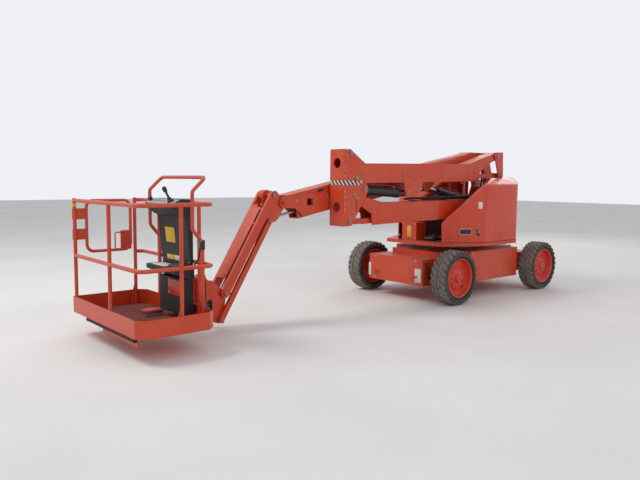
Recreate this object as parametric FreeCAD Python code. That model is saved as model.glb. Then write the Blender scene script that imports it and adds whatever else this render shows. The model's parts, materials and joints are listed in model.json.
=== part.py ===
import FreeCAD, Part
import math
import os

# Articulating boom lift, parked and folded.
# Frame: +X towards the platform end, +Y the machine's left, +Z up, millimetres.
# The origin is on the ground under the swing axis, midway between the axles.

os.makedirs("parts", exist_ok=True)

# Running gaps
GAP = 0.3            # round faces of two bodies at a pin, rod or shaft
SIDE_GAP = 6.0       # side play between plates that turn past each other

# Wheels and axles
WHEELBASE = 2010.0
AXLE_X = WHEELBASE / 2.0
TYRE_OUTER_FACE_Y = 875.0
TYRE_RADIUS = 350.0
TYRE_WIDTH = 240.0
TYRE_SHOULDER = 34.0
TREAD_DEPTH = 16.0
LUG_COUNT = 26
RIM_RADIUS = 245.0
RIM_WALL = 12.0
RIM_DISC_THICK = 16.0
RIM_DISH = 70.0
HUB_RADIUS = 95.0
HUB_LENGTH = 60.0
SPINDLE_RADIUS = 45.0
KINGPIN_Y = 560.0
KINGPIN_RADIUS = 26.0
KING_HALF_HEIGHT = 130.0
KING_EAR = 25.0
STEER_LEVER = (105.0, 22.0)     # reach behind the kingpin, half width

# Chassis
CHASSIS_BOTTOM = 225.0
CHASSIS_TOP = 640.0
CHASSIS_HALF_WIDTH = 670.0
CHASSIS_REAR_X = 415.0 - AXLE_X
CHASSIS_FRONT_X = AXLE_X - 475.0
NECK_REAR = 260.0
NECK_FRONT = 380.0
NECK_HALF_WIDTH = 400.0
NECK_TOP = 630.0
AXLE_BOX_TOP = 565.0
AXLE_BOX_FRONT = 285.0
AXLE_BOX_REAR = 150.0
REAR_FLANGE_RADIUS = 120.0
MOTOR_RADIUS = 100.0
AXLE_BOX_HALF = 480.0
LASH_Y = 340.0
LASH_Z = 330.0
LASH_PLATE = 20.0
LASH_REACH = 44.0
LASH_BORE = 20.0
RING_RADIUS = 330.0
RING_HEIGHT = 70.0
SWING_CLEARANCE = 4.0

# Turntable
DECK_BOTTOM = CHASSIS_TOP + RING_HEIGHT + SWING_CLEARANCE
DECK_THICK = 46.0
DECK_TOP = DECK_BOTTOM + DECK_THICK
DECK_HALF_WIDTH = 765.0
TAIL_RADIUS = 860.0
BEHIND_TAIL = -TAIL_RADIUS - 40.0
ABOVE_ALL = 3000.0
DECK_FRONT_X = 960.0
COUNTERWEIGHT_HEIGHT = 330.0
COUNTERWEIGHT_GAP = 6.0

# Hoods
HOOD_WALL = 8.0
HOOD_INNER_Y = 470.0
HOOD_OUTER_Y = 770.0
HOOD_RIDGE_X = 400.0
HOOD_REAR_X = 160.0 - TAIL_RADIUS
HOOD_REAR_CORNER_X = HOOD_REAR_X + 360.0
HOOD_PEAK_X = HOOD_REAR_X + 250.0
HOOD_SHOULDER = (-100.0, 85.0)     # X, drop under the peak
HOOD_TIP_X = 905.0
HOOD_SIDE_TOP = 1540.0
HOOD_PEAK_TOP = 1645.0
HOOD_BOTTOM = DECK_TOP + 6.0
HOOD_TIP_TOP = 1010.0
HOOD_HINGE_RADIUS = 12.0
HOOD_INNER_RIGHT = 300.0

# Heavy blocks under the hoods and the box on the deck's front
BLOCK_OUTER_Y = 620.0
BLOCK_FRONT_X = 330.0
BLOCK_HEIGHT = 420.0
BLOCK_CLEAR = 25.0
FRONT_BOX_LENGTH = 200.0
FRONT_BOX_Y = (-235.0, 20.0)
FRONT_BOX_HEIGHT = 245.0

# Sideways places of the two arm lines
BOOM_Y = 60.0
BOOM_WIDTH = 200.0
TOWER_Y = 311.0
ARM_WIDTH = 196.0
PLATE = 14.0
ARM_SHEET = 8.0
ARM_PIN = 25.0
BUSH_WALL = 18.0

# Tower: parallelogram of two arms, two links, one middle and one rear upright
MID_HEIGHT = 1486.0
MID_ARM_PIN_X = 2545.0
MID_LINK_PIN_X = 2445.0
TAIL_TO_REAR_PIN = 385.0
ARM_LENGTH = MID_LINK_PIN_X + TAIL_RADIUS - TAIL_TO_REAR_PIN
UPPER_PIN_RISE = 393.0
INNER_PIN_RISE = 117.0
LOWER_ARM_TILT = 0.7
UPPER_ARM_TILT = 1.2
ARM_DEPTH = 250.0
LINK_WIDTH = 130.0
LINK_DEPTH = 60.0
MID_FRONT_X = 2650.0
MID_TIP_X = 2262.0
MID_TOP = MID_HEIGHT + 444.0
MID_BOTTOM = MID_HEIGHT - 437.0
LIGHTENING_HOLE_RADIUS = 57.0
LIGHTENING_HOLE_RISE = (286.0, -218.0)

# Main boom
BOOM_TILT = 10.7
BOOM_DEPTH = 262.0
BOOM_CHAMFER = 25.0
BOOM_SHEET = 8.0
BOOM_PIVOT_OFFSET = (-75.64, -140.15)
BOOM_TOP_AT = (2620.0, 1474.5)
BOOM_BASE_FRONT = 2350.0
FLY_RUN = (300.0, 3130.0)
HEAD_TOP = ((2440.0, 1566.0), (3250.0, 1403.0))
HEAD_SHEET = 8.0
BOOM_FLAT_RUN = 161.0
BOOM_REAR_REACH = 150.0
FLY_GAP = 12.0

# Nose, jib and platform pivots
NOSE_PIN = (3312.0, 1326.0)
LEVEL_BASE_PIN = (2560.0, 1345.0)
LEVEL_EYE = (3405.0, 1158.0)
JIB_PIN = (3455.0, 1405.0)
JIB_LENGTH = 1180.0
JIB_TILT = 58.5
JIB_LINK_OFFSET = (49.0, -275.7)
JIB_BAR = 38.0
JIB_FAR_BOX = 77.0
JIB_DEPTH = 90.0
JIB_LINK_DEPTH = 55.0
JIB_CYLINDER_Y = BOOM_Y + 38.0
JIB_EYE_HALF = 33.0
KNUCKLE_PLATE = 12.0

# Lift cylinders: base pin, eye pin, barrel radius, rod radius
TOWER_CYLINDER_BASE = (2316.0, 1463.0)
TOWER_CYLINDER_EYE = (1544.0, 1422.0)
BOOM_CYLINDER_OFFSET = (-25.64, -678.15)
BOOM_CYLINDER_EYE = (850.0, 1480.0)

# Platform
PLATFORM_Y = BOOM_Y
PLATFORM_REAR_X = 4550.0
PLATFORM_DEPTH = 760.0
PLATFORM_WIDTH = 1520.0
PLATFORM_BOTTOM = 225.0
TOE_BOARD = 160.0
PLATFORM_TOP = 1370.0
MID_RAIL_Z = 800.0
RAIL_RADIUS = 19.0
RAIL_BEND = 70.0
FLOOR_THICK = 8.0
ROTATOR_X = 4300.0


def box(low, high):
    """Block between two corners."""
    size = [b - a for a, b in zip(low, high)]
    return Part.makeBox(size[0], size[1], size[2], FreeCAD.Vector(*low))


def bar_y(centre, radius, y_low, y_high):
    """Round bar along Y through an XZ point."""
    base = FreeCAD.Vector(centre[0], y_low, centre[1])
    return Part.makeCylinder(radius, y_high - y_low, base, FreeCAD.Vector(0, 1, 0))


def plate_y(points, y_low, y_high):
    """Flat plate: an XZ outline given its thickness along Y."""
    corners = [FreeCAD.Vector(x, y_low, z) for x, z in points]
    face = Part.Face(Part.makePolygon(corners + corners[:1]))
    return face.extrude(FreeCAD.Vector(0, y_high - y_low, 0))


def plate_z(points, z_low, z_high):
    """Flat plate: an XY outline given its thickness along Z."""
    corners = [FreeCAD.Vector(x, y, z_low) for x, y in points]
    face = Part.Face(Part.makePolygon(corners + corners[:1]))
    return face.extrude(FreeCAD.Vector(0, 0, z_high - z_low))


def fuse(*shapes):
    """One solid of several that overlap or touch."""
    result = shapes[0].multiFuse(list(shapes[1:])) if len(shapes) > 1 else shapes[0]
    return result.removeSplitter()


def mirror_y(shape):
    """The same shape on the machine's other side."""
    return shape.mirror(FreeCAD.Vector(0, 0, 0), FreeCAD.Vector(0, 1, 0))


def add(point, offset):
    """XZ point moved by an offset."""
    return (point[0] + offset[0], point[1] + offset[1])


def between(a, b, distance):
    """XZ point on the line from a to b, at a distance from a."""
    length = math.hypot(b[0] - a[0], b[1] - a[1])
    return (a[0] + (b[0] - a[0]) * distance / length, a[1] + (b[1] - a[1]) * distance / length)


def cylinder_between(a, b, y, radius):
    """Round bar between two XZ points in the plane Y = y."""
    start = FreeCAD.Vector(a[0], y, a[1])
    way = FreeCAD.Vector(b[0] - a[0], 0, b[1] - a[1])
    return Part.makeCylinder(radius, way.Length, start, way)


def tube_path(points, radius, bend, closed=False):
    """Round tube along straight runs joined by arcs of one bend radius."""
    nodes = [FreeCAD.Vector(*p) for p in points]
    edges = []
    count = len(nodes)
    entries = []
    for i, corner in enumerate(nodes):
        if not closed and i in (0, count - 1):
            entries.append((corner, None, corner))
            continue
        before = (nodes[i - 1] - corner).normalize()
        after = (nodes[(i + 1) % count] - corner).normalize()
        half = before.getAngle(after) / 2.0
        reach = bend / math.tan(half)
        middle = (before + after).normalize()
        centre = corner + middle * (bend / math.sin(half))
        entries.append((corner + before * reach, centre - middle * bend, corner + after * reach))
    for i, (start, middle, end) in enumerate(entries):
        if middle is not None:
            edges.append(Part.Arc(start, middle, end).toShape())
        if i + 1 < count or closed:
            edges.append(Part.LineSegment(end, entries[(i + 1) % count][0]).toShape())
    path = Part.Wire(edges)
    first = entries[0][2]
    way = entries[1 % count][0] - first
    if not closed:
        profile = Part.Wire(Part.makeCircle(radius, first, way))
        return path.makePipeShell([profile], True, False)
    solids = []
    for edge in edges:
        start = edge.valueAt(edge.FirstParameter)
        way = edge.tangentAt(edge.FirstParameter)
        profile = Part.Wire(Part.makeCircle(radius, start, way))
        solids.append(Part.Wire([edge]).makePipeShell([profile], True, False))
    return fuse(*solids)


def save(name, shape):
    """Write one piece."""
    solids = shape.Solids
    shape = solids[0] if len(solids) == 1 else Part.makeCompound(solids)
    if not shape.isValid():
        print("NOT VALID", name)
    shape.exportStep("parts/" + name + ".step")
    print(name, len(solids), round(shape.Volume / 1e9, 5))


# Wheels
WHEEL_Y = TYRE_OUTER_FACE_Y - TYRE_WIDTH / 2.0
WHEEL_INNER_Y = TYRE_OUTER_FACE_Y - TYRE_WIDTH


def tyre(x):
    """Tyre on the left side with block lugs; a plain bead seat towards the rim."""
    y_in = WHEEL_INNER_Y
    y_out = TYRE_OUTER_FACE_Y
    core = TYRE_RADIUS - TREAD_DEPTH
    seat = RIM_RADIUS + GAP
    profile = [(seat, y_in + 20), (core - TYRE_SHOULDER, y_in), (core, y_in + TYRE_SHOULDER),
               (core, y_out - TYRE_SHOULDER), (core - TYRE_SHOULDER, y_out), (seat, y_out - 20)]
    corners = [FreeCAD.Vector(x + r, y, TYRE_RADIUS) for r, y in profile]
    face = Part.Face(Part.makePolygon(corners + corners[:1]))
    hub_line = FreeCAD.Vector(x, 0, TYRE_RADIUS)
    body = face.revolve(hub_line, FreeCAD.Vector(0, 1, 0), 360)
    pitch = 360.0 / LUG_COUNT
    lugs = []
    reach = math.sqrt(TYRE_RADIUS ** 2 - (0.3 * math.radians(pitch) * TYRE_RADIUS) ** 2)
    width = 0.6 * math.radians(pitch) * TYRE_RADIUS
    for row, (low, high) in enumerate(((y_in + 10, WHEEL_Y - 6), (WHEEL_Y + 6, y_out - 10))):
        for i in range(LUG_COUNT):
            lug = box((x - width / 2, low, TYRE_RADIUS + core - 25),
                      (x + width / 2, high, TYRE_RADIUS + reach))
            lug.rotate(hub_line, FreeCAD.Vector(0, 1, 0), pitch * (i + 0.5 * row))
            lugs.append(lug)
    return fuse(body, *lugs)


def rim(x):
    """Deep-dish rim: barrel, flanges, disc and hub, bored for its spindle."""
    axis = FreeCAD.Vector(0, 1, 0)
    y_in = WHEEL_INNER_Y + 14
    y_out = TYRE_OUTER_FACE_Y - 14
    centre = FreeCAD.Vector(x, y_in, TYRE_RADIUS)
    barrel = Part.makeCylinder(RIM_RADIUS, y_out - y_in, centre, axis)
    bore = Part.makeCylinder(RIM_RADIUS - RIM_WALL, y_out - y_in, centre, axis)
    disc_y = y_out - RIM_DISH - RIM_DISC_THICK
    disc = Part.makeCylinder(RIM_RADIUS - RIM_WALL / 2, RIM_DISC_THICK,
                             FreeCAD.Vector(x, disc_y, TYRE_RADIUS), axis)
    hub = Part.makeCylinder(HUB_RADIUS, HUB_LENGTH + RIM_DISC_THICK,
                            FreeCAD.Vector(x, disc_y, TYRE_RADIUS), axis)
    spindle_hole = Part.makeCylinder(SPINDLE_RADIUS + GAP, HUB_LENGTH,
                                     FreeCAD.Vector(x, disc_y - 1, TYRE_RADIUS), axis)
    return fuse(barrel.cut(bore), disc, hub).cut(spindle_hole)


for side_name, side in (("left", 1), ("right", -1)):
    for end_name, end in (("front", 1), ("rear", -1)):
        for part_name, make in (("tyre", tyre), ("rim", rim)):
            shape = make(end * AXLE_X)
            shape = shape if side > 0 else mirror_y(shape)
            save(end_name + "_" + side_name + "_" + part_name, shape)

DISC_INNER_Y = TYRE_OUTER_FACE_Y - 14 - RIM_DISH - RIM_DISC_THICK

# Chassis with its two necks
chassis = fuse(
    box((CHASSIS_REAR_X, -CHASSIS_HALF_WIDTH, CHASSIS_BOTTOM),
        (CHASSIS_FRONT_X, CHASSIS_HALF_WIDTH, CHASSIS_TOP)),
    box((CHASSIS_REAR_X - NECK_REAR, -NECK_HALF_WIDTH, CHASSIS_BOTTOM + 20),
        (CHASSIS_FRONT_X + NECK_FRONT, NECK_HALF_WIDTH, NECK_TOP)))
save("chassis_frame", chassis)

ring = Part.makeCylinder(RING_RADIUS, RING_HEIGHT, FreeCAD.Vector(0, 0, CHASSIS_TOP))
save("slew_ring", ring)


def lashing_lugs(face_x, way):
    """Two flat lashing lugs on an axle box's end face, bored from top to bottom."""
    low = LASH_Z - LASH_PLATE / 2
    eye_x = face_x + way * LASH_REACH
    made = []
    for y in (LASH_Y, -LASH_Y):
        plate = plate_z([(face_x - way * 5, y - 55), (face_x - way * 5, y + 55), (eye_x, y + 38),
                         (eye_x, y - 38)], low, low + LASH_PLATE)
        eye = FreeCAD.Vector(eye_x, y, low)
        plate = fuse(plate, Part.makeCylinder(38, LASH_PLATE, eye))
        made.append(plate.cut(Part.makeCylinder(LASH_BORE, LASH_PLATE, eye)))
    return Part.makeCompound(made)


# Rear axle: box beam with fixed drive hubs
rear_box_x = (-AXLE_X - AXLE_BOX_REAR, CHASSIS_REAR_X - NECK_REAR)
rear_axle = box((rear_box_x[0], -WHEEL_INNER_Y + 30, CHASSIS_BOTTOM + 30),
                (rear_box_x[1], WHEEL_INNER_Y - 30, AXLE_BOX_TOP - 30))
for side in (1, -1):
    spindle_start = FreeCAD.Vector(-AXLE_X, side * (WHEEL_INNER_Y - 40), TYRE_RADIUS)
    flange = Part.makeCylinder(REAR_FLANGE_RADIUS, DISC_INNER_Y - 5 - (WHEEL_INNER_Y - 40), spindle_start,
                               FreeCAD.Vector(0, side, 0))
    spindle = Part.makeCylinder(SPINDLE_RADIUS, DISC_INNER_Y + 45 - (WHEEL_INNER_Y - 40),
                                spindle_start, FreeCAD.Vector(0, side, 0))
    rear_axle = fuse(rear_axle, flange, spindle)
rear_axle = rear_axle.fuse(lashing_lugs(rear_box_x[0], -1)).removeSplitter()
save("rear_axle", rear_axle)

# Front axle: box beam whose ends carry the kingpins
KING_LOW = TYRE_RADIUS - KING_HALF_HEIGHT
KING_HIGH = TYRE_RADIUS + KING_HALF_HEIGHT
front_axle = box((CHASSIS_FRONT_X + NECK_FRONT, -AXLE_BOX_HALF, CHASSIS_BOTTOM - 5),
                 (AXLE_X + AXLE_BOX_FRONT, AXLE_BOX_HALF, AXLE_BOX_TOP))
for side in (1, -1):
    for low in (KING_LOW - KING_EAR, KING_HIGH):
        arm = box((AXLE_X - 45, AXLE_BOX_HALF - 5, low), (AXLE_X + 45, KINGPIN_Y, low + KING_EAR))
        end = Part.makeCylinder(45, KING_EAR, FreeCAD.Vector(AXLE_X, KINGPIN_Y, low))
        ear = fuse(arm, end)
        front_axle = fuse(front_axle, ear if side > 0 else mirror_y(ear))
    pin = Part.makeCylinder(KINGPIN_RADIUS, KING_HIGH - KING_LOW,
                            FreeCAD.Vector(AXLE_X, side * KINGPIN_Y, KING_LOW))
    front_axle = fuse(front_axle, pin)
front_axle = front_axle.fuse(lashing_lugs(AXLE_X + AXLE_BOX_FRONT, 1)).removeSplitter()
save("front_axle", front_axle)


def knuckle():
    """Left steering knuckle: housing round the kingpin, drive motor flange and spindle."""
    post = Part.makeCylinder(44, KING_HIGH - KING_LOW - 2 * GAP,
                             FreeCAD.Vector(AXLE_X, KINGPIN_Y, KING_LOW + GAP))
    hole = Part.makeCylinder(KINGPIN_RADIUS + GAP, KING_HIGH - KING_LOW,
                             FreeCAD.Vector(AXLE_X, KINGPIN_Y, KING_LOW))
    start = FreeCAD.Vector(AXLE_X, KINGPIN_Y, TYRE_RADIUS)
    motor = Part.makeCylinder(MOTOR_RADIUS, DISC_INNER_Y - 5 - KINGPIN_Y, start, FreeCAD.Vector(0, 1, 0))
    spindle = Part.makeCylinder(SPINDLE_RADIUS, DISC_INNER_Y + 45 - KINGPIN_Y, start,
                                FreeCAD.Vector(0, 1, 0))
    lever = box((AXLE_X - STEER_LEVER[0], KINGPIN_Y - STEER_LEVER[1], TYRE_RADIUS - 95),
                (AXLE_X, KINGPIN_Y + STEER_LEVER[1], TYRE_RADIUS - 65))
    return fuse(post, motor, spindle, lever).cut(hole)


save("front_left_knuckle", knuckle())
save("front_right_knuckle", mirror_y(knuckle()))

# Turntable deck: straight sides, round tail
deck_outline = [(DECK_FRONT_X, HOOD_INNER_Y), (HOOD_RIDGE_X, DECK_HALF_WIDTH),
                (BEHIND_TAIL, DECK_HALF_WIDTH), (BEHIND_TAIL, -DECK_HALF_WIDTH),
                (HOOD_RIDGE_X, -DECK_HALF_WIDTH), (DECK_FRONT_X, -HOOD_INNER_Y)]
tail = Part.makeCylinder(TAIL_RADIUS, ABOVE_ALL, FreeCAD.Vector(0, 0, 0))
front_half = box((0, -2 * TAIL_RADIUS, 0), (2 * TAIL_RADIUS, 2 * TAIL_RADIUS, ABOVE_ALL))
tail_limit = fuse(tail, front_half)
deck = plate_z(deck_outline, DECK_BOTTOM, DECK_TOP).common(tail_limit)
hub = Part.makeCylinder(RING_RADIUS - 30, SWING_CLEARANCE - GAP,
                        FreeCAD.Vector(0, 0, DECK_BOTTOM - SWING_CLEARANCE + GAP))
save("turntable_deck", fuse(deck, hub))

counterweight = box((BEHIND_TAIL, -DECK_HALF_WIDTH, DECK_TOP), (HOOD_REAR_X - COUNTERWEIGHT_GAP,
                    DECK_HALF_WIDTH, DECK_TOP + COUNTERWEIGHT_HEIGHT)).common(tail_limit)
save("counterweight", counterweight)


# Tower pins
def tilted(point, length, degrees):
    """Point at a length towards the rear, rising by an angle."""
    angle = math.radians(degrees)
    return (point[0] - length * math.cos(angle), point[1] + length * math.sin(angle))


UPPER_ARM_FRONT = (MID_ARM_PIN_X, MID_HEIGHT + UPPER_PIN_RISE)
UPPER_LINK_FRONT = (MID_LINK_PIN_X, MID_HEIGHT + INNER_PIN_RISE)
LOWER_ARM_FRONT = (MID_LINK_PIN_X, MID_HEIGHT - INNER_PIN_RISE)
LOWER_LINK_FRONT = (MID_ARM_PIN_X, MID_HEIGHT - UPPER_PIN_RISE)
UPPER_ARM_REAR = tilted(UPPER_ARM_FRONT, ARM_LENGTH, UPPER_ARM_TILT)
UPPER_LINK_REAR = tilted(UPPER_LINK_FRONT, ARM_LENGTH, UPPER_ARM_TILT)
BOOM_PIVOT = add(UPPER_ARM_REAR, BOOM_PIVOT_OFFSET)
BOOM_CYLINDER_BASE = add(UPPER_ARM_REAR, BOOM_CYLINDER_OFFSET)
BOOM_REAR_X = BOOM_PIVOT[0] + BOOM_REAR_REACH
LOWER_ARM_REAR = tilted(LOWER_ARM_FRONT, ARM_LENGTH, LOWER_ARM_TILT)
LOWER_LINK_REAR = tilted(LOWER_LINK_FRONT, ARM_LENGTH, LOWER_ARM_TILT)

ARM_NEAR = TOWER_Y + ARM_WIDTH / 2.0
ARM_FAR = TOWER_Y - ARM_WIDTH / 2.0
UPRIGHT_NEAR = ARM_NEAR + SIDE_GAP
UPRIGHT_FAR = ARM_FAR - SIDE_GAP
BUSH_RADIUS = ARM_PIN + GAP + BUSH_WALL


def channel_arm(outline, inside, front_pin, rear_pin):
    """Inverted channel: sides and top from one outline, open below, bushed at both pins."""
    body = plate_y(outline, ARM_FAR, ARM_NEAR)
    for pin in (front_pin, rear_pin):
        body = fuse(body, bar_y(pin, BUSH_RADIUS + 10, ARM_FAR, ARM_NEAR))
    body = body.cut(plate_y(inside, ARM_FAR + ARM_SHEET, ARM_NEAR - ARM_SHEET))
    for pin in (front_pin, rear_pin):
        body = fuse(body, bar_y(pin, BUSH_RADIUS, ARM_FAR, ARM_NEAR))
    for pin in (front_pin, rear_pin):
        body = body.cut(bar_y(pin, ARM_PIN + GAP, ARM_FAR - 1, ARM_NEAR + 1))
    return body


def link(front_pin, rear_pin):
    """Timing link: flat bar with round bushed ends."""
    low = TOWER_Y - LINK_WIDTH / 2.0
    high = TOWER_Y + LINK_WIDTH / 2.0
    rise = LINK_DEPTH / 2.0
    bar = plate_y([(front_pin[0], front_pin[1] - rise), (front_pin[0], front_pin[1] + rise),
                   (rear_pin[0], rear_pin[1] + rise), (rear_pin[0], rear_pin[1] - rise)], low, high)
    body = fuse(bar, bar_y(front_pin, BUSH_RADIUS, low, high), bar_y(rear_pin, BUSH_RADIUS, low, high))
    for pin in (front_pin, rear_pin):
        body = body.cut(bar_y(pin, ARM_PIN + GAP, low - 1, high + 1))
    return body


lower_top_rear = (LOWER_ARM_REAR[0] + 330, LOWER_ARM_REAR[1] - 70)
lower_top_front = (1930.0, 1309.0)
lower_outline = [(LOWER_ARM_REAR[0] - 20, LOWER_ARM_REAR[1] + 45), lower_top_rear, lower_top_front,
                 (2276, 1379), (LOWER_ARM_FRONT[0] - 10, LOWER_ARM_FRONT[1] + 50),
                 (LOWER_ARM_FRONT[0] + 30, LOWER_ARM_FRONT[1] - 40), (2351, 1280), (2174, 1179),
                 (2160, 1046), (1925, 1054), (lower_top_rear[0] + 30, lower_top_rear[1] - ARM_DEPTH),
                 (lower_top_rear[0] - 100, lower_top_rear[1] - ARM_DEPTH + 90),
                 (LOWER_ARM_REAR[0] - 10, LOWER_ARM_REAR[1] - 48)]
lower_inside = [(LOWER_ARM_REAR[0] - 200, lower_top_rear[1] - ARM_SHEET),
                (lower_top_rear[0], lower_top_rear[1] - ARM_SHEET),
                (lower_top_front[0], lower_top_front[1] - ARM_SHEET),
                (2276, 1379 - ARM_SHEET), (2700, 1379 - ARM_SHEET), (2700, 900),
                (LOWER_ARM_REAR[0] - 200, 900)]
lower_arm = channel_arm(lower_outline, lower_inside, LOWER_ARM_FRONT, LOWER_ARM_REAR)
save("lower_arm", lower_arm)
save("lower_link", link(LOWER_LINK_FRONT, LOWER_LINK_REAR))

upper_crease = (290.0, 1818.0)
upper_rear_top = add(UPPER_ARM_REAR, (60.0, 40.0))
INSIDE_REACH = 900.0
upper_top_front = (2290.0, 1776.0)
upper_outline = [add(UPPER_ARM_REAR, (-10, 46)), upper_rear_top, upper_crease, upper_top_front,
                 (UPPER_ARM_FRONT[0] - 20, UPPER_ARM_FRONT[1] + 46),
                 (UPPER_ARM_FRONT[0] + 38, UPPER_ARM_FRONT[1] - 30), (2420, 1700), (2362, 1610),
                 (2362, 1545), (260, 1578), (100, 1585), (40, 1640), (6, 1717), (-251, 1852),
                 (UPPER_ARM_REAR[0] - 30, UPPER_ARM_REAR[1] - 36)]
rear_rise = (upper_rear_top[1] - upper_crease[1]) / (upper_crease[0] - upper_rear_top[0]) * INSIDE_REACH
upper_inside = [(upper_crease[0] - INSIDE_REACH, upper_crease[1] - ARM_SHEET + rear_rise),
                (upper_crease[0], upper_crease[1] - ARM_SHEET),
                (upper_top_front[0], upper_top_front[1] - ARM_SHEET),
                (UPPER_ARM_FRONT[0] + 200, UPPER_ARM_FRONT[1] + 60),
                (UPPER_ARM_FRONT[0] + 200, 1300), (upper_crease[0] - INSIDE_REACH, 1300)]
upper_arm = channel_arm(upper_outline, upper_inside, UPPER_ARM_FRONT, UPPER_ARM_REAR)

# Bracket under the upper arm that takes the lift cylinder's rod
bracket_outline = [(1640, 1700), (1258, 1705), (1251, 1540), (1330, 1410), (1382, 1382),
                   (1533, 1363), (1580, 1400)]
bracket_near = plate_y(bracket_outline, ARM_NEAR - GAP, ARM_NEAR + SIDE_GAP - 2)
bracket_far = plate_y(bracket_outline, ARM_FAR - SIDE_GAP + 2, ARM_FAR + GAP)
EYE_HALF = 45.0
stubs = [bar_y(TOWER_CYLINDER_EYE, ARM_PIN, TOWER_Y + EYE_HALF + 2, ARM_NEAR),
         bar_y(TOWER_CYLINDER_EYE, ARM_PIN, ARM_FAR, TOWER_Y - EYE_HALF - 2)]
REST_PIN = (1360.0, 1459.0)
bracket_hole = bar_y(REST_PIN, 14, ARM_FAR - 20, ARM_NEAR + 20)
upper_arm = fuse(upper_arm, bracket_near, bracket_far, *stubs).cut(bracket_hole)
save("upper_arm", upper_arm)
save("upper_link", link(UPPER_LINK_FRONT, UPPER_LINK_REAR))


def mid_plate(y_low, y_high):
    """One side plate of the middle upright."""
    tip_z = TOWER_CYLINDER_BASE[1]
    outline = [(MID_FRONT_X, MID_BOTTOM), (MID_FRONT_X, MID_TOP), (MID_ARM_PIN_X - 8, MID_TOP - 6),
               (MID_ARM_PIN_X - 65, MID_TOP - 52), (MID_TIP_X, tip_z + 34), (MID_TIP_X - 8, tip_z),
               (MID_TIP_X + 10, tip_z - 40), (MID_ARM_PIN_X - 45, MID_BOTTOM + 35),
               (MID_ARM_PIN_X - 26, MID_BOTTOM + 5)]
    return plate_y(outline, y_low, y_high)


mid_side = (UPRIGHT_FAR - PLATE, UPRIGHT_NEAR + PLATE)
mid_front = box((MID_FRONT_X - PLATE, mid_side[0], MID_BOTTOM), (MID_FRONT_X, mid_side[1], MID_TOP))
for rise in LIGHTENING_HOLE_RISE:
    centre = FreeCAD.Vector(MID_FRONT_X - PLATE, TOWER_Y, MID_HEIGHT + rise)
    hole = Part.makeCylinder(LIGHTENING_HOLE_RADIUS, PLATE, centre, FreeCAD.Vector(1, 0, 0))
    mid_front = mid_front.cut(hole)
mid_pieces = [mid_plate(UPRIGHT_NEAR, mid_side[1]), mid_plate(mid_side[0], UPRIGHT_FAR), mid_front]
for pin in (UPPER_ARM_FRONT, UPPER_LINK_FRONT, LOWER_ARM_FRONT, LOWER_LINK_FRONT, TOWER_CYLINDER_BASE):
    mid_pieces.append(bar_y(pin, ARM_PIN, mid_side[0] - 6, mid_side[1] + 6))
save("mid_upright", fuse(*mid_pieces))

# Tower base on the deck: two plates with the lower rear pins
base_outline = [(LOWER_ARM_REAR[0] - 150, DECK_TOP), (150, DECK_TOP), (LOWER_LINK_REAR[0] + 110,
                LOWER_LINK_REAR[1] + 10), (LOWER_ARM_REAR[0] + 60, LOWER_ARM_REAR[1] + 50),
                (LOWER_ARM_REAR[0] - 60, LOWER_ARM_REAR[1] + 50), (LOWER_ARM_REAR[0] - 140,
                LOWER_LINK_REAR[1] - 80)]
base_pieces = [plate_y(base_outline, UPRIGHT_NEAR, UPRIGHT_NEAR + PLATE),
               plate_y(base_outline, UPRIGHT_FAR - PLATE, UPRIGHT_FAR),
               box((LOWER_ARM_REAR[0] - 150, UPRIGHT_FAR - 1, DECK_TOP), (150, UPRIGHT_NEAR + 1,
                   DECK_TOP + 20))]
for pin in (LOWER_ARM_REAR, LOWER_LINK_REAR):
    base_pieces.append(bar_y(pin, ARM_PIN, UPRIGHT_FAR - PLATE - 6, UPRIGHT_NEAR + PLATE + 6))
save("tower_base", fuse(*base_pieces))

# Rear upright: carries the upper arm and link beside the boom's pivot
BOOM_NEAR = BOOM_Y + BOOM_WIDTH / 2.0
BOOM_FAR = BOOM_Y - BOOM_WIDTH / 2.0
REAR_PLATE_INNER = BOOM_NEAR + SIDE_GAP
rear_outline = [add(UPPER_ARM_REAR, offset) for offset in ((88, 52), (-130, 62), (-290, -440), (-260, -750),
                                                           (-40, -750), (60, -670), (-60, -420))]
near_outline = [add(UPPER_ARM_REAR, offset) for offset in ((88, 52), (-130, 62), (-155, -365), (-60, -365))]
BASE_CLEAR_Y = UPRIGHT_FAR - PLATE - 13.0
rear_pieces = [plate_y(near_outline, UPRIGHT_NEAR, UPRIGHT_NEAR + PLATE),
               plate_y(rear_outline, REAR_PLATE_INNER, BASE_CLEAR_Y),
               plate_y(near_outline, BASE_CLEAR_Y - 1, UPRIGHT_FAR),
               plate_y(rear_outline, BOOM_FAR - SIDE_GAP - PLATE, BOOM_FAR - SIDE_GAP),
               box((UPPER_ARM_REAR[0] - 152, REAR_PLATE_INNER, UPPER_ARM_REAR[1] - 362),
                   (UPPER_ARM_REAR[0] - 132, UPRIGHT_NEAR + 1, UPPER_ARM_REAR[1] - 330)),
               box((UPPER_ARM_REAR[0] - 270, BOOM_FAR - SIDE_GAP - 1, UPPER_ARM_REAR[1] - 710),
                   (UPPER_ARM_REAR[0] - 170, REAR_PLATE_INNER + 1, UPPER_ARM_REAR[1] - 440))]
for pin in (UPPER_ARM_REAR, UPPER_LINK_REAR):
    rear_pieces.append(bar_y(pin, ARM_PIN, UPRIGHT_FAR - 4, UPRIGHT_NEAR + PLATE + 6))
for pin in (BOOM_PIVOT, BOOM_CYLINDER_BASE):
    rear_pieces.append(bar_y(pin, ARM_PIN, BOOM_FAR - SIDE_GAP - PLATE - 6, BASE_CLEAR_Y))
save("rear_upright", fuse(*rear_pieces))


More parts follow.
